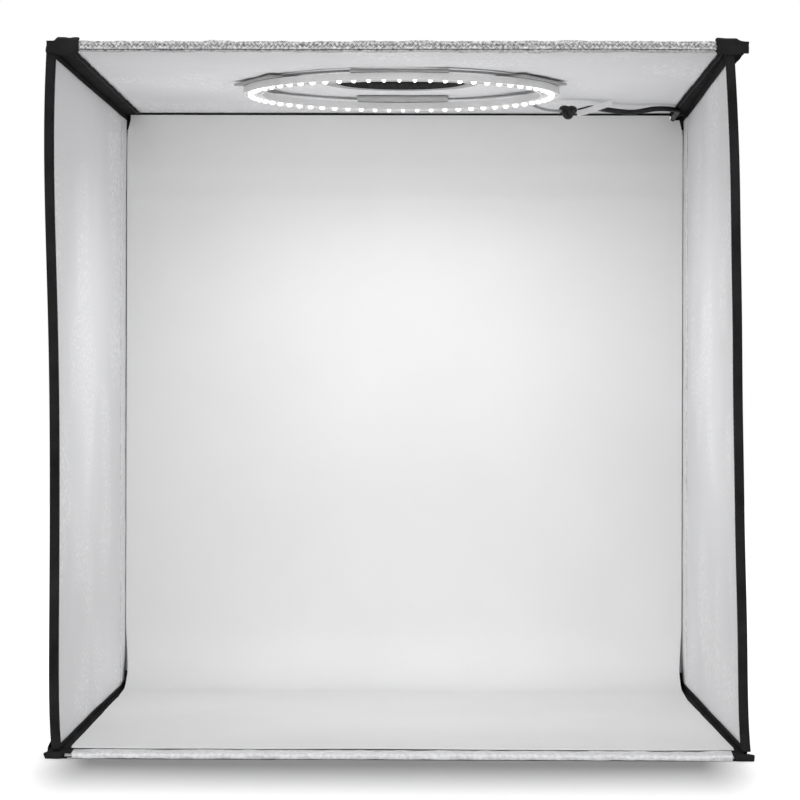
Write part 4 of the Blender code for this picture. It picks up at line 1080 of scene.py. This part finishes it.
def spun(name, inner, outer, low, high, middle=HOLE_Y, steps=96, edge=0.0002):
    """A flat ring turned from its own section about an upright line through (0, middle)."""
    bpy.ops.object.select_all(action="DESELECT")
    bpy.ops.mesh.primitive_plane_add(size=1, rotation=(math.pi / 2, 0, 0),
                                     location=((inner + outer) / 2, middle, (low + high) / 2))
    piece = added(name, (outer - inner, high - low, 1))
    edit(piece)
    bpy.ops.mesh.bevel(offset=edge, segments=2, affect="VERTICES")
    bpy.ops.mesh.select_all(action="SELECT")
    bpy.ops.mesh.spin(steps=steps, angle=math.tau, center=(0, middle, 0), axis=(0, 0, 1))
    bpy.ops.mesh.select_all(action="SELECT")
    bpy.ops.mesh.remove_doubles(threshold=MERGE)
    object_mode()
    delete_faces(piece, lambda centre, normal: abs(centre[1] - middle) < 1e-7
                 and abs(normal[1]) > 0.99 and centre[0] > 0)
    face_outward(piece)
    smooth(piece, 40)
    return piece


hook_grey = plain_material("hook_grey", grey(0.28), grey(0.42), (0.8, 0.95),
                           70.0, 2400.0, more={"Sheen Weight": 0.4})
tree = hook_grey.node_tree
loops = add_node(tree, "TexVoronoi", {
    "Vector": add_node(tree, "TexCoord").outputs["Object"], "Scale": 1300.0})
add_relief(tree, tree.nodes["Principled BSDF"], loops.outputs["Distance"], 0.6, 0.0004)
rim = spun("hole_rim_tape", HOLE_R, HOLE_R + RIM_T, ROOF_BASE, ROOF_TOP)
join_to(rim, spun("hole_rim_inside", HOLE_R, RIM_R, ROOF_BASE, ROOF_BASE + RIM_T),
        spun("hole_rim_outside", HOLE_R, RIM_R, ROOF_TOP - RIM_T, ROOF_TOP))
dress(rim, hook_grey, "grey_hook_tape", "roof", "viewing_hole_rim")
# The hole's inner wall takes the dark thread colour: painted shade inside the hole.
rim.data.materials.append(thread_grey)
for face in rim.data.polygons:
    reach = math.hypot(face.center.x, face.center.y - HOLE_Y)
    face.material_index = int(reach < HOLE_R + 0.0004 and abs(face.normal.z) < 0.5)
low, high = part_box("viewing_hole_patch")
patch = spun("hole_patch", PATCH_INNER, PATCH_OUTER, low[2], high[2])
reshape(patch, lambda co: co + waves(co, 51.0, 0.02, 0.00012))
dress(patch, silver_cloth, "silver_liner", "roof", "viewing_hole_patch")


# Ring light under the roof
# A white channel carries a circuit board with 64 surface-mounted lamps, which face down.
# Four grey hook-and-loop tabs hold it to the roof.
LAMPS, LAMP_CIRCLE_R = 64, 0.096
LAMP_X, LAMP_Y = 0.0015, 0.0011  # half a lamp's size, outward and along the circle
BOARD_INNER, BOARD_OUTER, BOARD_T = 0.0902, 0.0988, 0.0008
ring_white = plain_material("ring_white", grey(0.74), grey(0.82), (0.3, 0.42),
                            50.0, 1500.0, 0.05)
recolour(ring_white, "ring_housing")
low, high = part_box("led_strip")
board_low = high[2] - BOARD_T
lamp_board = spun("lamp_board", BOARD_INNER, BOARD_OUTER, board_low, high[2], 0, edge=0.0001)
lamp_white = plain_material("lamp_white", (0.66, 0.66, 0.65), (0.74, 0.74, 0.73),
                            (0.35, 0.5), 120.0, 1800.0)
lamp_lit = plain_material("lamp_lit", (0.9, 0.9, 0.82), (0.98, 0.98, 0.94), (0.2, 0.3),
                          400.0, 4000.0, more={"Emission Color": (1, 1, 0.98, 1),
                                               "Emission Strength": 1.5})
lamps = []
for k in range(LAMPS):
    turn = math.tau * k / LAMPS
    lamp = add_box("lamp", (-LAMP_X, -LAMP_Y, low[2]), (LAMP_X, LAMP_Y, board_low))
    pick_faces(lamp, lambda centre, normal: normal.z < -0.9)
    for rim_width, depth in ((0.0003, 0.0006), (0.0004, 0.0003)):
        bpy.ops.mesh.inset(thickness=rim_width)
        bpy.ops.transform.translate(value=(0, 0, -depth))
    object_mode()
    for face in lamp.data.polygons:
        face.material_index = int(face.normal.z < 0.9)
    co = points_of(lamp)
    outward = co[:, 0] + LAMP_CIRCLE_R
    put_points(lamp, np.column_stack((
        outward * math.cos(turn) - co[:, 1] * math.sin(turn),
        outward * math.sin(turn) + co[:, 1] * math.cos(turn), co[:, 2])))
    lamps.append(lamp)
for piece in (lamp_board, *lamps):
    piece.data.materials.append(lamp_white)
    piece.data.materials.append(lamp_lit)
join_to(lamp_board, *lamps)
lay_pattern(lamp_board)
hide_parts("led_strip")
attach(lamp_board, "roof")
ring_glow = soft_lamp("ring_glow", (0, 0, 0.3960), (0, 0, 0), (0.19, 0.19), 0.28)
ring_glow.data.shape = "DISK"
ring_glow.data.spread = math.radians(150)
ring_glow.light_linking.receiver_collection = beside_lamps


def dress_copy(node, name, material, slot_name, body, edge):
    """A CAD node's own shape, its triangles merged and its edges rounded, then dressed."""
    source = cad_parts[node]
    made = bpy.data.objects.new(name, source.data.copy())
    bpy.context.collection.objects.link(made)
    made.matrix_world = source.matrix_world
    select_only(made)
    bpy.ops.object.transform_apply(location=True, rotation=True, scale=True)
    edit(made)
    bpy.ops.mesh.remove_doubles(threshold=2e-6)
    bpy.ops.mesh.dissolve_limited(angle_limit=math.radians(1))
    bpy.ops.mesh.normals_make_consistent(inside=False)
    object_mode()
    apply_modifier(made, "BEVEL", width=edge, segments=2, limit_method="ANGLE",
                   angle_limit=math.radians(40))
    smooth(made)
    dress(made, material, slot_name, body, node)


for turn in ("front", "rear", "left", "right"):
    dress_copy(f"ring_tab_{turn}", f"ring_hook_tab_{turn}", hook_grey, "grey_hook_tape",
               "roof", 0.0003)


# Lead from the ring, its knot, and the cord under the roof
# A thin grey lead leaves the ring and enters a knot in the black cord, which runs under the
# roof to the notch. A white ribbon lies beside the knot.
KNOT_MIDDLE, KNOT_W, KNOT_H, KNOT_STEPS = (0.1100, 0.0940, 0.3984), 0.0016, 0.00115, 72
RIBBON_X, RIBBON_Y, RIBBON_Z = (0.1160, 0.1390), 0.0908, (0.3972, 0.4043)
RIBBON_W, RIBBON_T = 0.0042, 0.0005
lead_grey = plain_material("lead_grey", grey(0.26), grey(0.34), (0.4, 0.52),
                           200.0, 2600.0, 0.1)
lead_route = smooth_route(((0.0804, 0.0615, 0.4019), (0.0862, 0.0683, 0.4000),
                           (0.0949, 0.0803, 0.3984), (0.1054, 0.0900, 0.3984)), 0.0012)
present(tube("ring_thin_lead", lead_route, 0.0009, sides=10), lead_grey, "thin_lead", "roof",
        "ring_lead")
x, y, z = KNOT_MIDDLE
knot_line = []
for turn in (math.tau * step / KNOT_STEPS for step in range(KNOT_STEPS + 1)):
    knot_line.append(Vector((
        x + KNOT_W * (math.sin(turn) + 2 * math.sin(2 * turn)), y - KNOT_W * math.sin(3 * turn),
        z + KNOT_H * (math.cos(turn) - 2 * math.cos(2 * turn)))))
present(tube("cord_knot", knot_line, 0.0018, sides=10), cord_black, "cord_jacket", "roof",
        "lead_knot")
roof_route = smooth_route((
    (0.1168, 0.0940, 0.3988), (0.1204, 0.0950, 0.3998), (0.1265, 0.1010, 0.4016),
    (0.1375, 0.1185, 0.4020), (0.1545, 0.1270, 0.4012), (0.1690, 0.1275, 0.4034),
    (0.1785, 0.1285, 0.4037), (0.1852, 0.1340, 0.4034), (0.1872, 0.1440, 0.4033),
    (0.1875, 0.1650, 0.4032), (0.1875, 0.1859, 0.4031), (0.1875, 0.1897, 0.4031),
), CORD_GAP)
present(tube("cord_under_roof", roof_route, CORD_D / 2), cord_black, "cord_jacket", "roof",
        "roof_cord")
ribbon_white = plain_material("ribbon_white", grey(0.76), grey(0.84),
                              (0.45, 0.6), 150.0, 3000.0, 0.1)
ribbon = add_grid("white_ribbon", 24, 5, (1, 1))
co = points_of(ribbon)
share, across = co[:, 0] + 0.5, co[:, 1] * RIBBON_W
tilt = 0.5 - 0.9 * share
put_points(ribbon, np.column_stack((
    RIBBON_X[0] + (RIBBON_X[1] - RIBBON_X[0]) * share,
    RIBBON_Y + 0.0008 * np.sin(share * 7) + across * np.sin(tilt),
    RIBBON_Z[0] + (RIBBON_Z[1] - RIBBON_Z[0]) * share ** 1.3 + across * np.cos(tilt))))
apply_modifier(ribbon, "SOLIDIFY", thickness=RIBBON_T, offset=0)
face_outward(ribbon)
smooth(ribbon)
dress(ribbon, ribbon_white, "white_plastic", "roof", "cord_ribbon")


# Hatch over the viewing hole
# A square flap of covered board closes the hole from above. Black tape binds it, a strip
# hinges it at the rear, and a short tab at its front lifts it.
for node, name, material, slot_name, body in (
    ("hatch_flap", "hatch_cloth_flap", cover_black, "cover_fabric", "hatch"),
    ("hatch_binding", "hatch_edge_tape", tape_black, "edge_tape", "hatch"),
    ("hatch_pull_tab", "hatch_lift_tab", tape_black, "edge_tape", "hatch"),
    ("hatch_hinge_strip", "hatch_sewn_strip", tape_black, "edge_tape", "roof"),
):
    dress_copy(node, name, material, slot_name, body, 0.00015)


# Coil tie, in-line dimmer and plug
# A black tie holds the coil. The dimmer is two halves of moulded plastic round the cord,
# with a button in its top, and the plug has a plated shell and a white contact plate.
dress_copy("coil_tie", "coil_hook_tie", tape_black, "edge_tape", "root", 0.0002)
for name, dark, light, rough, nodes in (
    ("case_black", (0.018, 0.018, 0.019), (0.032, 0.032, 0.033), (0.42, 0.58),
     ("dimmer_case_lower", "dimmer_case_upper", "plug_grip")),
    ("button_grey", grey(0.26), grey(0.34), (0.4, 0.55),
     ("dimmer_button",)),
    ("contact_white", grey(0.76), grey(0.84), (0.35, 0.5),
     ("plug_contact_plate",)),
):
    recolour(plain_material(name, dark, light, rough, 80.0, 3200.0, 0.25), *nodes)
plated = plain_material("plated_steel", grey(0.62), grey(0.74), (0.16, 0.3),
                        220.0, 4200.0, metallic=1.0)
recolour(plated, "plug_shell")
